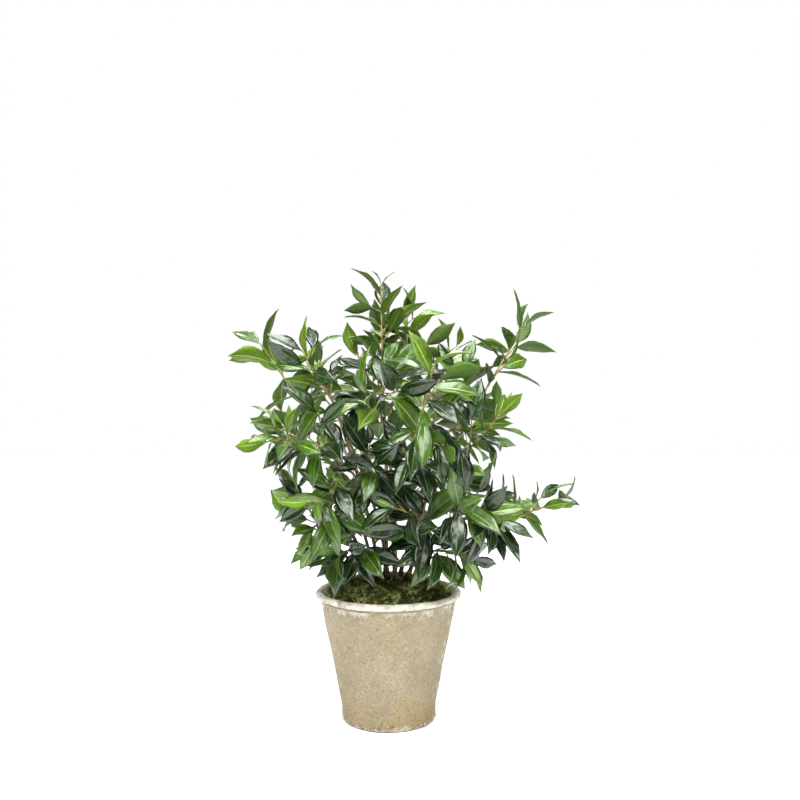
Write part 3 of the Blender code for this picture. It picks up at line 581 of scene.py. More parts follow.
def pot_radius(z):
    """Outer radius of the pot's body."""
    band = min(z, FOOT_BAND_HEIGHT)
    return POT_BASE_RADIUS + FOOT_BAND_DRAFT * band + POT_DRAFT * (z - band)


def bore_radius(z):
    """Inner radius of the pot, which opens out through the rim's throat."""
    bore = pot_radius(min(z, THROAT_START)) - POT_WALL
    opening = max(0.0, (z - THROAT_START) / RIM_THROAT)
    return bore + opening * (RIM_MOUTH_RADIUS - bore)


def smooth_step(low, high, value):
    """A share that eases from 0 at the low level to 1 at the high one."""
    share = min(1.0, max(0.0, (value - low) / (high - low)))
    return share * share * (3 - 2 * share)


def turned(name, sides, rows):
    """A solid turned on the pot's axis: a circle raised ring by ring, then closed at both ends.

    Each row is a ring's radius and height.
    """
    radius, height = rows[0]
    deselect()
    bpy.ops.mesh.primitive_circle_add(vertices=sides, radius=radius, fill_type="NOTHING",
                                      location=(0.0, 0.0, height))
    item = bpy.context.object
    item.name = name
    bpy.ops.object.transform_apply(location=True, rotation=False, scale=False)
    pick(item, lambda place: True)
    for next_radius, next_height in rows[1:]:
        bpy.ops.mesh.extrude_region_move(
            TRANSFORM_OT_translate={"value": (0.0, 0.0, next_height - height)})
        scale = next_radius / radius
        bpy.ops.transform.resize(value=(scale, scale, 1.0))
        radius, height = next_radius, next_height
    bpy.ops.mesh.edge_face_add()
    pick(item, lambda place: place.z < rows[0][1] + SAME_LEVEL)
    bpy.ops.mesh.edge_face_add()
    bpy.ops.mesh.select_all(action="SELECT")
    bpy.ops.mesh.normals_make_consistent(inside=False)
    return item


def smoothed(item):
    """Round a piece off by two levels of subdivision."""
    bpy.ops.object.mode_set(mode="OBJECT")
    smooth = item.modifiers.new("smooth", "SUBSURF")
    smooth.levels = 2
    smooth.render_levels = 2
    apply_all(item)


def roughen(item, name, size, depth, strength, mid_level=0.5, group=""):
    """Displace a surface by a soft noise; its size and its strength are in metres."""
    texture = bpy.data.textures.new(name, type="CLOUDS")
    texture.noise_scale = size
    texture.noise_depth = depth
    modifier = item.modifiers.new(name, "DISPLACE")
    modifier.texture = texture
    modifier.texture_coords = "LOCAL"
    modifier.strength = strength
    modifier.mid_level = mid_level
    modifier.vertex_group = group


def weight_group(item, name, weigh):
    """A vertex group whose weight follows each corner's place."""
    group = item.vertex_groups.new(name=name)
    for vertex in item.data.vertices:
        weight = weigh(vertex.co)
        if weight > 0:
            group.add([vertex.index], weight, "REPLACE")
    return name


def pot_rows():
    """Rings of the pot: up its outside, round its rim, and down inside to below the moss."""
    rim_underside = POT_HEIGHT - RIM_HEIGHT
    rounding = RIM_HEIGHT / 2
    rows = [(POT_BASE_RADIUS - FOOT_ROUNDING, 0.0),
            (POT_BASE_RADIUS - 0.3 * FOOT_ROUNDING, 0.6 * FOOT_ROUNDING)]
    body_start = 2 * FOOT_ROUNDING
    body_end = rim_underside - 0.003
    for row in range(POT_BODY_ROWS + 1):
        z = body_start + (body_end - body_start) * row / POT_BODY_ROWS
        rows.append((pot_radius(z), z))
    rows.append((pot_radius(rim_underside) - 0.0010, rim_underside - 0.0012))
    rows.append((pot_radius(rim_underside) + 0.0012, rim_underside + 0.0002))
    for step in range(-2, 4):
        angle = math.pi / 6 * step
        rows.append((RIM_RADIUS - rounding + rounding * math.cos(angle),
                     POT_HEIGHT - rounding + rounding * math.sin(angle)))
    rows.append((RIM_MOUTH_RADIUS + 0.0015, POT_HEIGHT - 0.0004))
    rows.append((RIM_MOUTH_RADIUS, POT_HEIGHT - 0.0020))
    for z in (THROAT_START + THROAT_EASE, THROAT_START, MOSS_UNDERSIDE, INSIDE_BOTTOM):
        rows.append((bore_radius(z), z))
    return rows


def worn_edges(place):
    """Where the pot's edges are chipped: round its foot and a little along the rim's bead."""
    foot = smooth_step(0.0008, 0.003, place.z) * (1 - smooth_step(0.006, 0.016, place.z))
    rim = smooth_step(POT_HEIGHT - RIM_HEIGHT - 0.002, POT_HEIGHT - RIM_HEIGHT + 0.001, place.z)
    rim *= 1 - smooth_step(POT_HEIGHT - 0.006, POT_HEIGHT - 0.002, place.z)
    return foot + 0.16 * rim


def build_pot(clay):
    rows = pot_rows()
    pot = turned("weathered_pot", POT_SIDES, rows)
    # A ring set in from each flat face's edge keeps its corner crisp when it is smoothed
    for level in (rows[0][1], rows[-1][1]):
        pick(pot, lambda place: abs(place.z - level) < SAME_LEVEL, "FACE")
        bpy.ops.mesh.inset(thickness=CORNER_INSET)
    smoothed(pot)
    sides = weight_group(pot, "sides", lambda place: smooth_step(0.0008, 0.004, place.z))
    worn = weight_group(pot, "worn", worn_edges)
    roughen(pot, "hand_thrown", 0.045, 1, 0.0016, 0.55, sides)
    roughen(pot, "sandy", 0.0022, 2, 0.0006, 0.6, sides)
    roughen(pot, "chipped", 0.006, 2, -0.0060, 0.56, worn)
    apply_all(pot)
    pot.data.shade_smooth()
    settle(pot, [clay], ["pot"])


def moss_height(radius):
    """Height of the moss dome at a distance from the axis."""
    share = max(0.0, (radius - MOSS_PLATEAU_RADIUS) / (MOSS_RADIUS - MOSS_PLATEAU_RADIUS))
    return MOSS_TOP - (MOSS_TOP - MOSS_EDGE) * share ** 2


# The moss reaches the pot's bore all round
MOSS_RADIUS = bore_radius(MOSS_EDGE) - FILL_CLEARANCE
MOSS_RINGS = 9
MOSS_SIDES = 64


def build_moss(bed_finish):
    rows = [(bore_radius(z) - FILL_CLEARANCE, z)
            for z in (MOSS_UNDERSIDE, THROAT_START, MOSS_EDGE)]
    for ring in range(1, MOSS_RINGS):
        radius = MOSS_RADIUS * (1 - ring / MOSS_RINGS)
        rows.append((radius, moss_height(radius)))
    bed = turned("moss_bed", MOSS_SIDES, rows)
    smoothed(bed)
    top = weight_group(bed, "top", lambda place: smooth_step(MOSS_EDGE - 0.004, MOSS_EDGE, place.z))
    roughen(bed, "mounds", 0.014, 1, 0.007, 0.6, top)
    roughen(bed, "clumps", 0.004, 2, 0.003, 0.6, top)
    apply_all(bed)
    bed.data.shade_smooth()
    settle(bed, [bed_finish], ["moss_cushion"])
    return bed


# Patches of one colour and the shares of the colours among them; some sprigs stray from theirs
MOSS_PATCHES = 70
MOSS_SHARES = (40, 34, 20, 6)
PATCH_TRUE = 0.6
MOSS_SPRIGS = 2600
SPRIG_BLADES = 6
SPRIG_BLADE_LENGTH = (0.0032, 0.0075)
SPRIG_BLADE_RADIUS = 0.00055
SPRIG_LEAN = (25, 72)
SPRIG_SUNK = 0.0006


def sprig_blade(root, heading, lift, length):
    """A curved three-sided spike of moss: a ring at its root, one half way, and a tip."""
    side = heading.cross(lift).normalized()
    middle = root + 0.55 * length * heading
    tip = root + length * (0.85 * heading + 0.40 * lift)
    corners = []
    for centre, radius in ((root, 1.0), (middle, 0.9)):
        for corner in range(3):
            angle = 2 * math.pi * corner / 3
            across = math.cos(angle) * side + math.sin(angle) * lift
            corners.append(centre + SPRIG_BLADE_RADIUS * radius * across)
    corners.append(tip)
    faces = [(0, 1, 4, 3), (1, 2, 5, 4), (2, 0, 3, 5), (3, 4, 6), (4, 5, 6), (5, 3, 6)]
    return corners, faces


def build_moss_sprigs(bed, finishes):
    """Rosettes of small spikes all over the moss bed, dealt out in patches of several colours."""
    draws = random.Random("moss sprigs")
    surface = BVHTree.FromPolygons([vertex.co for vertex in bed.data.vertices],
                                   [tuple(polygon.vertices) for polygon in bed.data.polygons])

    def spray(largest):
        angle = draws.uniform(0, 2 * math.pi)
        radius = largest * math.sqrt(draws.random())
        return radius * math.cos(angle), radius * math.sin(angle)

    patches = []
    for _ in range(MOSS_PATCHES):
        x, y = spray(MOSS_RADIUS)
        tone = draws.choices(range(len(finishes)), weights=MOSS_SHARES)[0]
        patches.append((x, y, tone))
    shapes = [[] for _ in finishes]
    for _ in range(MOSS_SPRIGS):
        x, y = spray(MOSS_RADIUS - 0.002)
        hit, normal, _, _ = surface.ray_cast(Vector((x, y, 1.0)), Vector((0, 0, -1)))
        if hit is None:
            continue
        nearest = min(patches, key=lambda patch: (patch[0] - x) ** 2 + (patch[1] - y) ** 2)
        tone = nearest[2] if draws.random() < PATCH_TRUE else draws.randrange(3)
        root = hit - SPRIG_SUNK * normal
        for _ in range(SPRIG_BLADES):
            turn = draws.uniform(0, 2 * math.pi)
            lean = math.radians(draws.uniform(*SPRIG_LEAN))
            level = Vector((math.cos(turn), math.sin(turn), 0.0))
            heading = (math.cos(lean) * normal + math.sin(lean) * level).normalized()
            lift = (normal - normal.dot(heading) * heading).normalized()
            shapes[tone].append(sprig_blade(root, heading, lift,
                                            draws.uniform(*SPRIG_BLADE_LENGTH)))
    for finish, sprigs in zip(finishes, shapes):
        item = joined("moss_sprigs_" + finish.name.split("_")[0], sprigs)
        settle(item, [finish], ["moss_cushion"])


# ---------------------------------------------------------------- limbs

class Limb:
    """A tapering limb along one smooth arc."""

    def __init__(self, name, root, control, tip, root_radius, tip_radius, flare=0.0):
        self.name = name
        self.root = Vector(root)
        self.control = Vector(control)
        self.tip = Vector(tip)
        self.root_radius = root_radius
        self.tip_radius = tip_radius
        self.flare = flare
        self.length = (self.tip - self.root).length

    def point(self, t):
        return (1 - t) ** 2 * self.root + 2 * t * (1 - t) * self.control + t ** 2 * self.tip

    def heading(self, t):
        way = 2 * (1 - t) * (self.control - self.root) + 2 * t * (self.tip - self.control)
        return way.normalized()

    def radius(self, t):
        taper = self.root_radius + t * (self.tip_radius - self.root_radius)
        return taper * (1 + self.flare * math.exp(-t * self.length / ROOT_FLARE_LENGTH))


def stem_limb(name, foot, tip, bow, foot_diameter, tip_diameter):
    root = Vector((*foot, MOSS_TOP + GAP))
    control = (root + Vector(tip)) / 2 + 2 * Vector(bow)
    return Limb(name, root, control, tip, foot_diameter / 2, tip_diameter / 2, ROOT_FLARE)


def branch_limb(name, parent, along, tip, root_radius, tip_radius):
    """A limb that leaves its parent's axis partly along the parent's own heading."""
    root = parent.point(along)
    chord = Vector(tip) - root
    start = (1 - FOLLOW_PARENT) * chord.normalized() + FOLLOW_PARENT * parent.heading(along)
    control = root + start.normalized() * chord.length / 2
    return Limb(name, root, control, tip, root_radius, tip_radius)


BARK_CUTS = 26
BARK_RELIEF = 0.0007
NODE_SPACING = 0.021
FIRST_NODE = (0.3, 1.0)
NODE_SWELL = 0.16
NODE_WIDTH = 0.0024
FOOT_SUNK = 0.007
TIP_RUN_ON = 0.004


def limb_thickness(limb, share, first_node):
    """Radius of the finished limb: its taper, with a low swelling at each old leaf scar."""
    distance = share * limb.length
    nearest = round((distance - first_node) / NODE_SPACING) * NODE_SPACING + first_node
    swell = NODE_SWELL * math.exp(-((distance - nearest) / NODE_WIDTH) ** 2)
    return limb.radius(share) * (1 + swell)


def build_limb(limb, bark):
    """A bark-covered limb: one bent curve given thickness, made a mesh and roughened."""
    draws = random.Random(limb.name)
    first_node = draws.uniform(*FIRST_NODE) * NODE_SPACING
    deselect()
    bpy.ops.curve.primitive_bezier_curve_add(location=(0.0, 0.0, 0.0))
    item = bpy.context.object
    item.name = limb.name + "_bark"
    line = item.data
    line.dimensions = "3D"
    line.resolution_u = 2
    line.bevel_depth = 1.0
    line.bevel_resolution = 4
    line.use_fill_caps = True
    from_root = limb.root.lerp(limb.control, 2 / 3)
    to_tip = limb.tip.lerp(limb.control, 2 / 3)
    ends = ((limb.root, limb.root, from_root), (limb.tip, to_tip, limb.tip))
    for knot, (place, before, after) in zip(line.splines[0].bezier_points, ends):
        knot.handle_left_type = "FREE"
        knot.handle_right_type = "FREE"
        knot.co = place
        knot.handle_left = before
        knot.handle_right = after
    bpy.ops.object.mode_set(mode="EDIT")
    bpy.ops.curve.select_all(action="SELECT")
    bpy.ops.curve.subdivide(number_cuts=BARK_CUTS)
    bpy.ops.object.mode_set(mode="OBJECT")
    knots = line.splines[0].bezier_points
    for index, knot in enumerate(knots):
        knot.radius = limb_thickness(limb, index / (len(knots) - 1), first_node)
    if limb.flare:
        knots[0].co -= FOOT_SUNK * limb.heading(0.0)
    knots[-1].co += TIP_RUN_ON * limb.heading(1.0)
    bpy.ops.object.convert(target="MESH")
    item = bpy.context.object
    roughen(item, "bark_ridges", 0.0016, 2, BARK_RELIEF)
    apply_all(item)
    item.data.shade_smooth()
    settle(item, [bark], [limb.name])


def grow_limbs():
    limbs = {stem[0]: stem_limb(*stem) for stem in STEMS}
    for name, parent_name, along, tip, root_diameter, tip_diameter in BOUGHS:
        limbs[name] = branch_limb(name, limbs[parent_name], along, tip,
                                  root_diameter / 2, tip_diameter / 2)
    return limbs


# ---------------------------------------------------------------- growth of twigs and leaves

class Leaf:
    """Where one leaf sits and how it is bent; its blade is worked out from this."""

    def __init__(self, root, ahead, up, length, bend, fold, twist):
        self.root = root
        self.ahead = ahead.normalized()
        self.side = self.ahead.cross(up).normalized()
        self.up = self.side.cross(self.ahead)
        self.length = length
        self.bend = bend
        self.fold = fold
        self.twist = twist
        self.phase = 0.0
        self.slimness = 1.0

    def blade_point(self, t, s):
        """A point of the upper face: t from root to tip, s from the left edge to the right."""
        turn = self.bend * t
        reach = math.sin(turn) / self.bend
        drop = (1 - math.cos(turn)) / self.bend
        midrib = self.root + self.length * (reach * self.ahead - drop * self.up)
        lift = math.cos(turn) * self.up + math.sin(turn) * self.ahead
        roll = self.twist * t
        side = math.cos(roll) * self.side + math.sin(roll) * lift
        lift = math.cos(roll) * lift - math.sin(roll) * self.side
        half = self.length * LEAF_WIDTH_RATIO / 2 * blade_outline(t)
        across = s * half * math.cos(self.fold) * side
        rise = abs(s) * half * math.sin(self.fold) * lift
        return midrib + across + rise, lift

    def shaped(self, pattern):
        """The pattern's corners carried onto this bent, folded, twisted and wavy blade."""
        t, s, relief = pattern[:, 0:1], pattern[:, 1:2], pattern[:, 2:3]
        ahead, up, side = (np.array(way) for way in (self.ahead, self.up, self.side))
        turn = self.bend * t
        midrib = np.array(self.root) + self.length * (
            np.sin(turn) / self.bend * ahead - (1 - np.cos(turn)) / self.bend * up)
        lift = np.cos(turn) * up + np.sin(turn) * ahead
        roll = self.twist * t
        across = np.cos(roll) * side + np.sin(roll) * lift
        lift = np.cos(roll) * lift - np.sin(roll) * side
        half = self.length * self.slimness * fine_half_width(t)
        wave = MARGIN_WAVE * s ** 2 * np.sin(2 * math.pi * (MARGIN_WAVES * t + self.phase)
                                             + np.sign(s) * MARGIN_OFFSET)
        rise = half * (np.abs(s) * math.sin(self.fold) + wave) + self.length * relief
        return midrib + s * half * math.cos(self.fold) * across + rise * lift


def blade_outline(t):
    """Half-width of a blade as a share of its largest, with a narrow base and a drawn-out tip."""
    return math.sin(math.pi * t ** BLADE_SKEW) ** BLADE_ROUNDNESS


def fine_half_width(t):
    """Half-width of the detailed leaf as a share of its length: stalk, blade and drawn-out tip."""
    body = np.clip((t - STALK_SHARE) / (1 - STALK_SHARE), 0.0, 1.0)
    width = LEAF_WIDTH_RATIO / 2 * np.sin(math.pi * body ** FINE_SKEW) ** FINE_ROUNDNESS
    drawn = np.clip((t - TIP_DRAWN_FROM) / (1 - TIP_DRAWN_FROM), 0.0, 1.0)
    teeth = MARGIN_TEETH * np.cos(math.pi * BLADE_ROWS * t)
    width = width * (1 - TIP_DRAWN_BY * drawn) * (1 + teeth)
    stalk = STALK_HALF_WIDTH * (t < 0.999)
    return np.maximum(width, stalk)


def leaf_solid(leaf, swell=0.0):
    """Corners and faces of a plain blade, as the masses have; swell fattens it."""
    corners = [leaf.root - swell * leaf.ahead]
    for t in LEAF_STATIONS:
        left, lift = leaf.blade_point(t, -STATION_FULLNESS)
        right, lift = leaf.blade_point(t, STATION_FULLNESS)
        thickness = leaf.length * LEAF_THICKNESS_RATIO
        corners.append(left - swell * leaf.side + swell * lift)
        corners.append(right + swell * leaf.side + swell * lift)
        corners.append((left + right) / 2 - (thickness + swell) * lift)
    corners.append(leaf.blade_point(1.0, 0)[0] + swell * leaf.ahead)
    faces = [
        (0, 2, 1), (0, 1, 3), (0, 3, 2),
        (1, 2, 5), (1, 5, 4), (1, 4, 6), (1, 6, 3), (3, 6, 5), (3, 5, 2),
        (4, 5, 7), (4, 7, 6), (6, 7, 5),
    ]
    return corners, faces


def perpendicular(way):
    """A level direction square to a way, turned the same for every limb."""
    level = way.cross(Vector((0, 0, 1)))
    if level.length < NEARLY_UPRIGHT:
        level = way.cross(Vector((0, 1, 0)))
    return level.normalized()


def around(way, turn):
    """The direction square to a way at an angle round it."""
    return Matrix.Rotation(turn, 3, way) @ perpendicular(way)


def place_leaf(root, way, turn, pitch, length, droop, draws):
    """A leaf at a pitch from its twig's way, drawn down by its weight and facing the light."""
    outward = around(way, turn)
    ahead = math.cos(pitch) * way + math.sin(pitch) * outward
    up = math.sin(pitch) * way - math.cos(pitch) * outward
    ahead = (ahead + droop * Vector((0, 0, -1))).normalized()
    out = Vector((root.x - CROWN_AXIS_X, root.y, 0.0)) / FULL_LIGHT_RADIUS
    if out.length > 1:
        out.normalize()
    up = up + FACE_OUT * out + FACE_UP * Vector((0, 0, 1))
    bend = math.radians(draws.uniform(*LEAF_BEND))
    fold = math.radians(draws.uniform(*LEAF_FOLD))
    twist = math.radians(draws.uniform(-LEAF_TWIST, LEAF_TWIST))
    return Leaf(root, ahead, up, length, bend, fold, twist)


def extent(corners):
    """Centre and reach of a piece."""
    centre = sum(corners, Vector()) / len(corners)
    return centre, max((corner - centre).length for corner in corners)


class Space:
    """What is already placed; a new piece is let in only where it touches none of it."""

    def __init__(self):
        self.trees = []
        self.lowest = Vector((CROWN_LEFT, -CROWN_DEPTH, CROWN_BOTTOM))
        self.highest = Vector((CROWN_RIGHT, CROWN_DEPTH, CROWN_TOP))

    def keep_within(self, lowest, highest):
        self.lowest = Vector(lowest)
        self.highest = Vector(highest)

    def add(self, owner, corners, faces):
        self.trees.append((owner, *extent(corners), BVHTree.FromPolygons(corners, faces)))

    def add_mesh(self, owner, mesh):
        corners = [vertex.co.copy() for vertex in mesh.vertices]
        self.add(owner, corners, [tuple(polygon.vertices) for polygon in mesh.polygons])

    def is_free(self, corners, faces, own):
        """Whether a piece stays inside and touches nothing but the limb that it grows on."""
        for corner in corners:
            if not all(low < value < high for low, value, high in
                       zip(self.lowest, corner, self.highest)):
                return False
        tree = BVHTree.FromPolygons(corners, faces)
        centre, reach = extent(corners)
        for owner, other_centre, other_reach, other in self.trees:
            if owner == own or (other_centre - centre).length > reach + other_reach:
                continue
            if tree.overlap(other):
                return False
        return True

    def let_in(self, owner, leaf, own, gap=GAP):
        """Place a leaf if it is free with a gap round it, and say whether it is."""
        free = self.is_free(*leaf_solid(leaf, gap), own)
        if free:
            self.add(owner, *leaf_solid(leaf))
        return free


def tube(points, radii, sides):
    """Corners and faces of a closed tube through points, with a ring of a radius at each."""
    corners = []
    for index, point in enumerate(points):
        before = points[max(index - 1, 0)]
        after = points[min(index + 1, len(points) - 1)]
        way = (after - before).normalized()
        level = perpendicular(way)
        upright = way.cross(level)
        for side in range(sides):
            angle = 2 * math.pi * side / sides
            corners.append(point + radii[index] * (math.cos(angle) * level
                                                   + math.sin(angle) * upright))
    faces = []
    for ring in range(len(points) - 1):
        for side in range(sides):
            here = ring * sides + side
            beside = ring * sides + (side + 1) % sides
            faces.append((here, beside, beside + sides, here + sides))
    last = (len(points) - 1) * sides
    faces.append(tuple(reversed(range(sides))))
    faces.append(tuple(last + side for side in range(sides)))
    return corners, faces


def grow_twigs(shoot, space):
    """Side twigs of a shoot, each from a node in its lower part."""
    twigs = []
    for number in range(1 + shoot.leaf_count // LEAVES_PER_TWIG):
        draws = random.Random(f"{shoot.name} twig {number}")
        stray = draws.uniform(-TWIG_STEP_SPREAD, TWIG_STEP_SPREAD)
        share = TWIG_FIRST + TWIG_STEP * number + stray
        root = shoot.point(share)
        way = shoot.heading(share)
        length = min(TWIG_LONGEST, max(TWIG_SHORTEST, TWIG_SHARE * shoot.length))
        length *= draws.uniform(*TWIG_LENGTH_SPREAD)
        lean = math.radians(draws.uniform(*TWIG_LEAN))
        for extra_turn in TRY_TURNS:
            turn = shoot.first_turn + GOLDEN_TURN * (number + 0.5) + math.radians(extra_turn)
            heading = math.cos(lean) * way + math.sin(lean) * around(way, turn)
            heading = (heading + TWIG_RISE * Vector((0, 0, 1))).normalized()
            tip = root + length * heading
            swollen = tube([root, tip], [TWIG_RADIUS + GAP, TWIG_TIP_RADIUS + GAP], 3)
            if space.is_free(*swollen, shoot.name):
                twigs.append((root, tip))
                space.add(f"{shoot.name}_twig_{number}",
                          *tube([root, tip], [TWIG_RADIUS, TWIG_TIP_RADIUS], 3))
                break
    return twigs


def leaf_size(share):
    """Size of a shoot's leaf: largest in the middle, least at the tip."""
    return LOWEST_SIZE + MIDDLE_GAIN * math.sin(math.pi * share) - TIP_LOSS * share ** 3


def leaf_places(shoot):
    """Root, way, turn, pitch and size share of each leaf, and the stem it grows on."""
    places = []
    for number, (root, tip) in enumerate(shoot.twigs):
        way = (tip - root).normalized()
        owner = f"{shoot.name}_twig_{number}"
        for share, turn, pitch, size in TWIG_LEAVES:
            places.append((root.lerp(tip, share), way, shoot.first_turn + turn,
                           math.radians(pitch), size, owner))
    on_stem = shoot.leaf_count - len(places)
    for number in range(on_stem):
        share = number / (on_stem - 1)
        along = LEAVES_START + (LEAVES_END - LEAVES_START) * share ** LEAVES_CROWDING
        pitch = math.radians(LOWEST_PITCH + (TIP_PITCH - LOWEST_PITCH) * share ** PITCH_CURVE)
        turn = shoot.first_turn + GOLDEN_TURN * number
        places.append((shoot.point(along), shoot.heading(along), turn, pitch, leaf_size(share),
                       shoot.name))
    return places


def grow_leaves(shoot, space):
    """Leaves of a shoot; one that finds no free place near its own is left out."""
    leaves = []
    for number, place in enumerate(leaf_places(shoot)):
        point, way, turn, pitch, size, owner = place
        for attempt, extra_turn in enumerate(TRY_TURNS):
            draws = random.Random(f"{shoot.name} leaf {number}")
            full_length = shoot.leaf_length * size * draws.uniform(*LENGTH_SPREAD)
            full_length *= 1 - TRY_SHRINK * attempt
            full_turn = turn + math.radians(extra_turn + draws.uniform(-TURN_SPREAD, TURN_SPREAD))
            full_pitch = pitch + math.radians(draws.uniform(-PITCH_SPREAD, PITCH_SPREAD))
            root = point - SHOOT_TIP_RADIUS / 2 * around(way, full_turn)
            leaf = place_leaf(root, way, full_turn, full_pitch, full_length, shoot.droop, draws)
            if space.let_in(f"{shoot.name}_leaf_{number}", leaf, owner):
                leaves.append(leaf)
                break
    return leaves


def grow_fine_shoots(shoot, space):
    """Short twigs between a shoot's leaves with small leaves of their own, where there is room."""
    twigs = []
    leaves = []
    for number in range(FINE_TWIGS):
        draws = random.Random(f"{shoot.name} fine twig {number}")
        share = (number + draws.uniform(*FINE_TWIG_SPREAD)) / FINE_TWIGS
        root = shoot.point(share)
        way = shoot.heading(share)
        lean = math.radians(draws.uniform(*FINE_TWIG_LEAN))
        twig_length = draws.uniform(*FINE_TWIG_LENGTH)
        name = f"{shoot.name}_fine_{number}"
        for extra_turn in TRY_TURNS:
            turn = shoot.first_turn + GOLDEN_TURN * (number + 0.25)
            turn += math.radians(2 * extra_turn)
            heading = math.cos(lean) * way + math.sin(lean) * around(way, turn)
            tip = root + twig_length * heading
            solid = tube([root, tip], [FINE_TWIG_RADIUS, FINE_TWIG_TIP_RADIUS], 3)
            if not space.is_free(*solid, shoot.name):
                continue
            own_leaves = fine_leaves(shoot, name, root, tip, draws, space)
            if own_leaves:
                space.add(name, *solid)
                twigs.append((root, tip))
                leaves += own_leaves
                break
    leaves += tip_leaves(shoot, space)
    return twigs, leaves


def fine_leaves(shoot, name, root, tip, draws, space):
    """Small leaves of one fine twig, as many as find room."""
    way = (tip - root).normalized()
    leaves = []
    start = draws.uniform(0, 2 * math.pi)
    for share, turn, pitch in FINE_LEAVES:
        size = shoot.leaf_length * draws.uniform(*FINE_LEAF_SIZE)
        leaf = place_leaf(root.lerp(tip, share), way, start + turn, math.radians(pitch), size,
                          shoot.droop, draws)
        if space.let_in(name + "_leaf", leaf, name):
            leaves.append(leaf)
    return leaves


def tip_leaves(shoot, space):
    """The two newest leaves, small and nearly upright at the shoot's end."""
    leaves = []
    for number, pitch in enumerate(TIP_LEAF_PITCHES):
        draws = random.Random(f"{shoot.name} tip leaf {number}")
        turn = shoot.first_turn + math.pi * number
        turn += draws.uniform(-TIP_LEAF_TURN_SPREAD, TIP_LEAF_TURN_SPREAD)
        size = shoot.leaf_length * draws.uniform(*TIP_LEAF_SIZE)
        leaf = place_leaf(shoot.point(1.0), shoot.heading(1.0), turn, math.radians(pitch), size,
                          0.0, draws)
        if space.let_in(f"{shoot.name}_tip_leaf_{number}", leaf, shoot.name, gap=0.0):
            leaves.append(leaf)
    return leaves


def grow_crown(limbs, nodes):
    """Every shoot with its twigs and leaves, which it holds, in the order of the masses."""
    space = Space()
    for name in ("pot", "filling", "moss_cushion", *limbs):
        space.add_mesh(name, nodes[name].data)
    crown = []
    for name, parent_name, along, tip, count, length, first_turn, droop, young in SHOOTS:
        shoot = branch_limb("leaves_" + name, limbs[parent_name], along, tip,
                            SHOOT_RADIUS, SHOOT_TIP_RADIUS)
        shoot.leaf_count = count
        shoot.leaf_length = length
        shoot.first_turn = math.radians(first_turn)
        shoot.droop = droop
        shoot.young = young
        shares = [step / 4 for step in range(5)]
        space.add(shoot.name, *tube([shoot.point(share) for share in shares],
                                    [shoot.radius(share) for share in shares], 4))
        crown.append(shoot)
    for shoot in crown:
        shoot.twigs = grow_twigs(shoot, space)
    for shoot in crown:
        shoot.leaves = grow_leaves(shoot, space)
    space.keep_within((CAD_BOX[0][0], CAD_BOX[0][1], CROWN_BOTTOM), CAD_BOX[1])
    for shoot in crown:
        shoot.fine_twigs, shoot.small_leaves = grow_fine_shoots(shoot, space)
    return crown


# ---------------------------------------------------------------- leaves and twigs as meshes

# Face slots of a leaf, as its finishes are given
UPPER_FACE, UNDERSIDE, RIB = 0, 1, 2


def leaf_pattern():
    """The leaf that all are copied from: x runs root to tip, y edge to edge, and z is relief."""
    deselect()
    bpy.ops.mesh.primitive_grid_add(x_subdivisions=BLADE_ROWS, y_subdivisions=5, size=2,
                                    location=(0.0, 0.0, 0.0))
    pattern = bpy.context.object
    pattern.name = "leaf_pattern"
    pick(pattern, lambda place: True)
    bpy.ops.transform.resize(value=(0.5, 1.0, 1.0))
    bpy.ops.transform.translate(value=(0.5, 0.0, 0.0))
    # The grid's columns at 0.2 and 0.6 move to the groove's edge and to the crown
    for inner, outer, column in ((0.0, 0.3, GROOVE_EDGE / 0.2), (0.3, 0.9, SHOULDER / 0.6)):
        pick(pattern, lambda place: inner <= abs(place.y) < outer)
        bpy.ops.transform.resize(value=(1.0, column, 1.0))
    # The underside is the same sheet pushed down, joined to the top again along its edges
    bpy.ops.mesh.select_all(action="SELECT")
    bpy.ops.mesh.extrude_region_move(TRANSFORM_OT_translate={"value": (0, 0, -BLADE_THICKNESS)})
    pick(pattern, lambda place: abs(place.y) > 0.99)
    bpy.ops.mesh.remove_doubles(threshold=2 * BLADE_THICKNESS)
    pick(pattern, lambda place: place.x > 0.999)
    bpy.ops.mesh.merge(type="CENTER")
    # The ridge of the midrib below, its groove on top, and the crown of the blade on each side
    top = (-0.1 * BLADE_THICKNESS, 1.0)
    underside = (-1.0, -0.5 * BLADE_THICKNESS)
    for (low, high), inner, outer, rise in ((underside, 0.0, 0.3, -MIDRIB_RIDGE),
                                            (top, 0.0, 0.3, -MIDRIB_GROOVE),
                                            (top, 0.3, 0.9, CROWN_RISE)):
        pick(pattern, lambda place: inner <= abs(place.y) < outer and low < place.z < high)
        bpy.ops.transform.translate(value=(0.0, 0.0, rise))
    bpy.ops.mesh.select_all(action="SELECT")
    bpy.ops.mesh.normals_make_consistent(inside=False)
    bpy.ops.object.mode_set(mode="OBJECT")
    mesh = pattern.data
    corners = np.array([tuple(vertex.co) for vertex in mesh.vertices])
    faces = [tuple(polygon.vertices) for polygon in mesh.polygons]
    slots = []
    for polygon in mesh.polygons:
        if abs(polygon.center.y) < GROOVE_EDGE or polygon.center.x < STALK_SHARE:
            slots.append(RIB)
        else:
            slots.append(UPPER_FACE if polygon.normal.z > 0 else UNDERSIDE)
    order = [index for face in faces for index in face]
    uv = np.stack([corners[order, 0], (corners[order, 1] + 1) / 2], axis=1)
    bpy.data.objects.remove(pattern)
    return corners, faces, slots, uv


# How often a leaf takes each of three tones: the first three where old, the last three where
# young, and there the newest leaves are more often of the last
OLD_SHARES = (55, 29, 16)
YOUNG_SHARES = (34, 38, 20)
NEWEST_EXTRA = 30


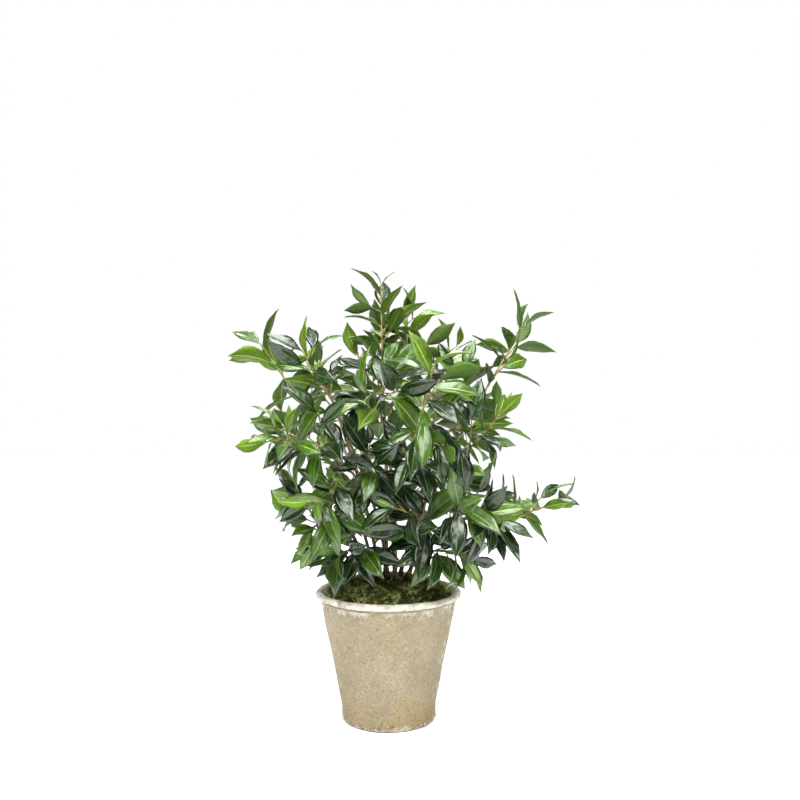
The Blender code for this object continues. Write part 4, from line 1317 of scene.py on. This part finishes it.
def choose_tone(draws, young, newness):
    """A tone's place in the table: old leaves are deep green, and the newest yellow-green."""
    if draws.random() < young:
        green, fresh, newest = YOUNG_SHARES
        return draws.choices((2, 3, 4), weights=(green, fresh, newest + NEWEST_EXTRA * newness))[0]
    return draws.choices((0, 1, 2), weights=OLD_SHARES)[0]


def build_leaves(crown, finishes, replaced):
    """All leaves, joined by tone, each a copy of the pattern on its own bent blade.

    The finishes are the materials of the pattern's three slots by tone, from old to young.
    """
    corners, faces, slots, uv = leaf_pattern()
    shapes = [[] for _ in finishes]
    for shoot in crown:
        for number, leaf in enumerate(shoot.leaves + shoot.small_leaves):
            draws = random.Random(f"{shoot.name} tone {number}")
            newness = min(1.0, number / len(shoot.leaves))
            leaf.phase = draws.random()
            leaf.slimness = draws.uniform(*SLIMNESS)
            tone = choose_tone(draws, shoot.young, newness)
            shapes[tone].append((leaf.shaped(corners), faces))
    for (tone, materials), leaves in zip(finishes.items(), shapes):
        settle(joined("leaves_" + tone, leaves, slots, uv), materials, replaced)


SHOOT_RINGS = 14
SHOOT_NODE_SWELL = 0.45
NODE_REACH = 0.002
TWIG_SAG = 0.02
# Distance past the tip and radius of each ring of a bud
BUD_RINGS = ((-0.0010, 0.0008), (0.0006, 0.0014), (0.0022, 0.0012), (0.0046, 0.0003))


def shoot_tube(shoot):
    """A leafy shoot's stem, with a swelling where each leaf sits."""
    shares = [index / SHOOT_RINGS for index in range(SHOOT_RINGS + 1)]
    nodes = []
    for leaf in shoot.leaves:
        nearest = min(range(101), key=lambda step: (shoot.point(step / 100) - leaf.root).length)
        if (shoot.point(nearest / 100) - leaf.root).length < NODE_REACH:
            nodes.append(nearest / 100)
            shares.append(nearest / 100)
    points = []
    radii = []
    for share in sorted(set(shares)):
        points.append(shoot.point(share))
        swell = SHOOT_NODE_SWELL if share in nodes else 0.0
        radii.append(shoot.radius(share) * (1 + swell))
    return tube(points, radii, 8)


def bud(tip, way):
    """A small pointed bud at the end of a shoot."""
    return tube([tip + ahead * way for ahead, _ in BUD_RINGS],
                [radius for _, radius in BUD_RINGS], 6)


def build_twigs(crown, bark, green_bark, bud_finish, replaced):
    """Shoot stems, side twigs, fine twigs and buds, each kind joined into one piece."""
    stems = []
    fine = []
    buds = []
    for shoot in crown:
        stems.append(shoot_tube(shoot))
        buds.append(bud(shoot.point(1.0), shoot.heading(1.0)))
        for root, tip in shoot.twigs:
            way = (tip - root).normalized()
            middle = root.lerp(tip, 0.5) - TWIG_SAG * (tip - root).length * Vector((0, 0, 1))
            points = [root, root.lerp(tip, 0.25), middle, root.lerp(tip, 0.78), tip]
            radii = [1.5 * TWIG_RADIUS, TWIG_RADIUS, 1.15 * TWIG_RADIUS, TWIG_TIP_RADIUS,
                     TWIG_TIP_RADIUS]
            stems.append(tube(points, radii, 7))
            buds.append(bud(tip, way))
        for root, tip in shoot.fine_twigs:
            points = [root, root.lerp(tip, 0.5), tip]
            radii = [1.3 * FINE_TWIG_RADIUS, FINE_TWIG_RADIUS, FINE_TWIG_TIP_RADIUS]
            fine.append(tube(points, radii, 6))
    for name, shapes, finish in (("leafy_shoots", stems, bark), ("fine_twigs", fine, green_bark),
                                 ("buds", buds, bud_finish)):
        settle(joined(name, shapes), [finish], replaced)


# ---------------------------------------------------------------- stage, light and camera

FLOOR_SIZE = 14.0

# A white wall behind the plant, a dimmer room in front of it, and a dimmer ceiling; the
# limits are shares of a level way's reach backwards and sines of the height
FRONT_WALL = 0.25
BACK_WALL = 0.75
WALL_LIGHT = 1.0
ROOM_LIGHT = 0.06
BRIGHT_UP_TO = 0.42
DIM_FROM = 0.68
CEILING_SHARE = 0.25


def build_stage():
    """White paper under the plant, and a white room round it that lights its gloss."""
    deselect()
    bpy.ops.mesh.primitive_plane_add(size=FLOOR_SIZE, location=(0.0, 0.0, 0.0))
    floor = bpy.context.object
    floor.name = "floor"
    material, tree, _ = new_material("matt_white_paper", 0.9, 0.0)
    dress(tree, "#fdfdfd")
    floor.data.materials.append(material)
    world = bpy.data.worlds.new("white_studio")
    world.use_nodes = True
    tree = world.node_tree
    way = add_node(tree, "SeparateXYZ", (add_node(tree, "TexCoord").outputs["Generated"],))
    back_wall = add_node(tree, "MapRange", (way.outputs["Y"], FRONT_WALL, BACK_WALL, ROOM_LIGHT,
                                            WALL_LIGHT))
    ceiling = add_node(tree, "MapRange", (way.outputs["Z"], BRIGHT_UP_TO, DIM_FROM, 1.0,
                                          CEILING_SHARE))
    room = add_node(tree, "Math", (back_wall, ceiling), operation="MULTIPLY")
    # The room only lights the plant, and behind it every side shows the same white paper
    seen = add_node(tree, "LightPath").outputs["Is Camera Ray"]
    strength = add_node(tree, "Math", (room, seen), operation="MAXIMUM")
    background = tree.nodes["Background"]
    connect(tree, strength, background.inputs["Strength"])
    connect(tree, "#ffffff", background.inputs["Color"])
    bpy.context.scene.world = world


# name, place, width and height in metres, watts
SOFTBOXES = (
    ("left_softbox", (-0.95, -1.30, 2.20), 1.60, 1.25, 98),
    ("right_softbox", (1.50, -1.60, 1.40), 1.00, 1.20, 50),
    ("top_softbox", (0.30, -0.30, 2.50), 1.50, 1.10, 76),
    ("back_softbox", (-0.30, 1.35, 1.60), 1.00, 0.40, 14),
)
SOFTBOX_TARGET = (0.02, 0.0, 0.45)
OVERHEAD_LIGHT = 2.8
OVERHEAD_SPREAD = 60
OVERHEAD_TILT = (12, -10)


def build_lights():
    """Rectangular soft lights that face the crown, and a broad light from above."""
    for name, place, width, height, watts in SOFTBOXES:
        lamp = bpy.data.lights.new(name, "AREA")
        lamp.shape = "RECTANGLE"
        lamp.size = width
        lamp.size_y = height
        lamp.energy = watts
        item = link(name, lamp)
        item.location = place
        way = Vector(SOFTBOX_TARGET) - Vector(place)
        item.rotation_euler = way.to_track_quat("-Z", "Y").to_euler()
    overhead = bpy.data.lights.new("overhead_light", "SUN")
    overhead.energy = OVERHEAD_LIGHT
    overhead.angle = math.radians(OVERHEAD_SPREAD)
    item = link("overhead_light", overhead)
    item.rotation_euler = (*(math.radians(tilt) for tilt in OVERHEAD_TILT), 0.0)


def build_camera():
    camera = link("camera", bpy.data.cameras.new("camera"))
    camera.data.lens = CAMERA_LENS_MM
    camera.data.sensor_width = SENSOR_MM
    camera.data.clip_start = 0.01
    camera.location = CAMERA_PLACE
    camera.rotation_euler = (math.radians(90), 0.0, 0.0)
    bpy.context.scene.camera = camera


# ---------------------------------------------------------------- the whole plant

# name, dark and light colour
MOSSES = (
    ("dark_moss", "#343b1a", "#525b2a"),
    ("olive_moss", "#5b652f", "#7e8743"),
    ("light_moss", "#8a934e", "#b0b577"),
    ("russet_moss", "#5d4427", "#8a673f"),
)
RIBS = (
    ("dark_leaf_rib", "#37491d", "#4a5d2b"),
    ("green_leaf_rib", "#5f7430", "#768945"),
    ("pale_leaf_rib", "#8e9d50", "#a9b36b"),
)

# tone, upper face and its dark blotches and veins, its roughness, underside and its light
# blotches, rib
LEAF_FINISHES = (
    ("deep", "#0e2408", "#081704", "#263f1c", 0.27, "#2d4313", "#3c541c", 0),
    ("dark", "#17320a", "#0e2006", "#2f4b1b", 0.27, "#324a11", "#415a1c", 0),
    ("green", "#325208", "#213b05", "#4c6b1b", 0.29, "#344c0c", "#435c17", 1),
    ("fresh", "#3f5f08", "#2e4a04", "#5c7a22", 0.31, "#3b550a", "#4a6615", 2),
    ("young", "#4a680b", "#3a5406", "#6c8728", 0.33, "#43600c", "#557118", 2),
)


def main():
    bpy.context.scene.view_settings.view_transform = "Standard"
    nodes = frame["nodes"]
    build_camera()
    build_stage()
    build_lights()
    build_pot(weathered_clay("weathered_fired_clay"))
    nodes["filling"].data.materials.clear()
    nodes["filling"].data.materials.append(packing_foam("brown_packing_foam"))
    # The bed under the sprigs is near-black olive: the moss's dark colour deepened as painted shade
    # between the sprigs
    bed = build_moss(dried_moss("moss_bed_brown", "#14160a", "#34381a"))
    build_moss_sprigs(bed, [dried_moss(*moss) for moss in MOSSES])
    limbs = grow_limbs()
    bark = shrub_bark("brown_shrub_bark", "#241a10", "#4c3b26", "#7d6d3f", 0.0006)
    for limb in limbs.values():
        build_limb(limb, bark)
    crown = grow_crown(limbs, nodes)
    masses = [shoot.name for shoot in crown]
    ribs = [leaf_rib(*rib) for rib in RIBS]
    finishes = {}
    for tone, blade, blotch, vein, roughness, back, back_light, rib in LEAF_FINISHES:
        finishes[tone] = [waxy_leaf_face(tone + "_waxy_leaf", blade, blotch, vein, roughness),
                          soft_leaf_back(tone + "_leaf_back", back, back_light), ribs[rib]]
    build_leaves(crown, finishes, masses)
    green_bark = shrub_bark("olive_twig_bark", "#4a4820", "#6c6830", "#8a8644", 0.0003)
    shoot_bark = shrub_bark("young_shrub_bark", "#43331d", "#6b5631", "#877a42", 0.0004)
    build_twigs(crown, shoot_bark, green_bark, leaf_rib("leaf_bud", "#6d6a34", "#8d9a48"), masses)


main()
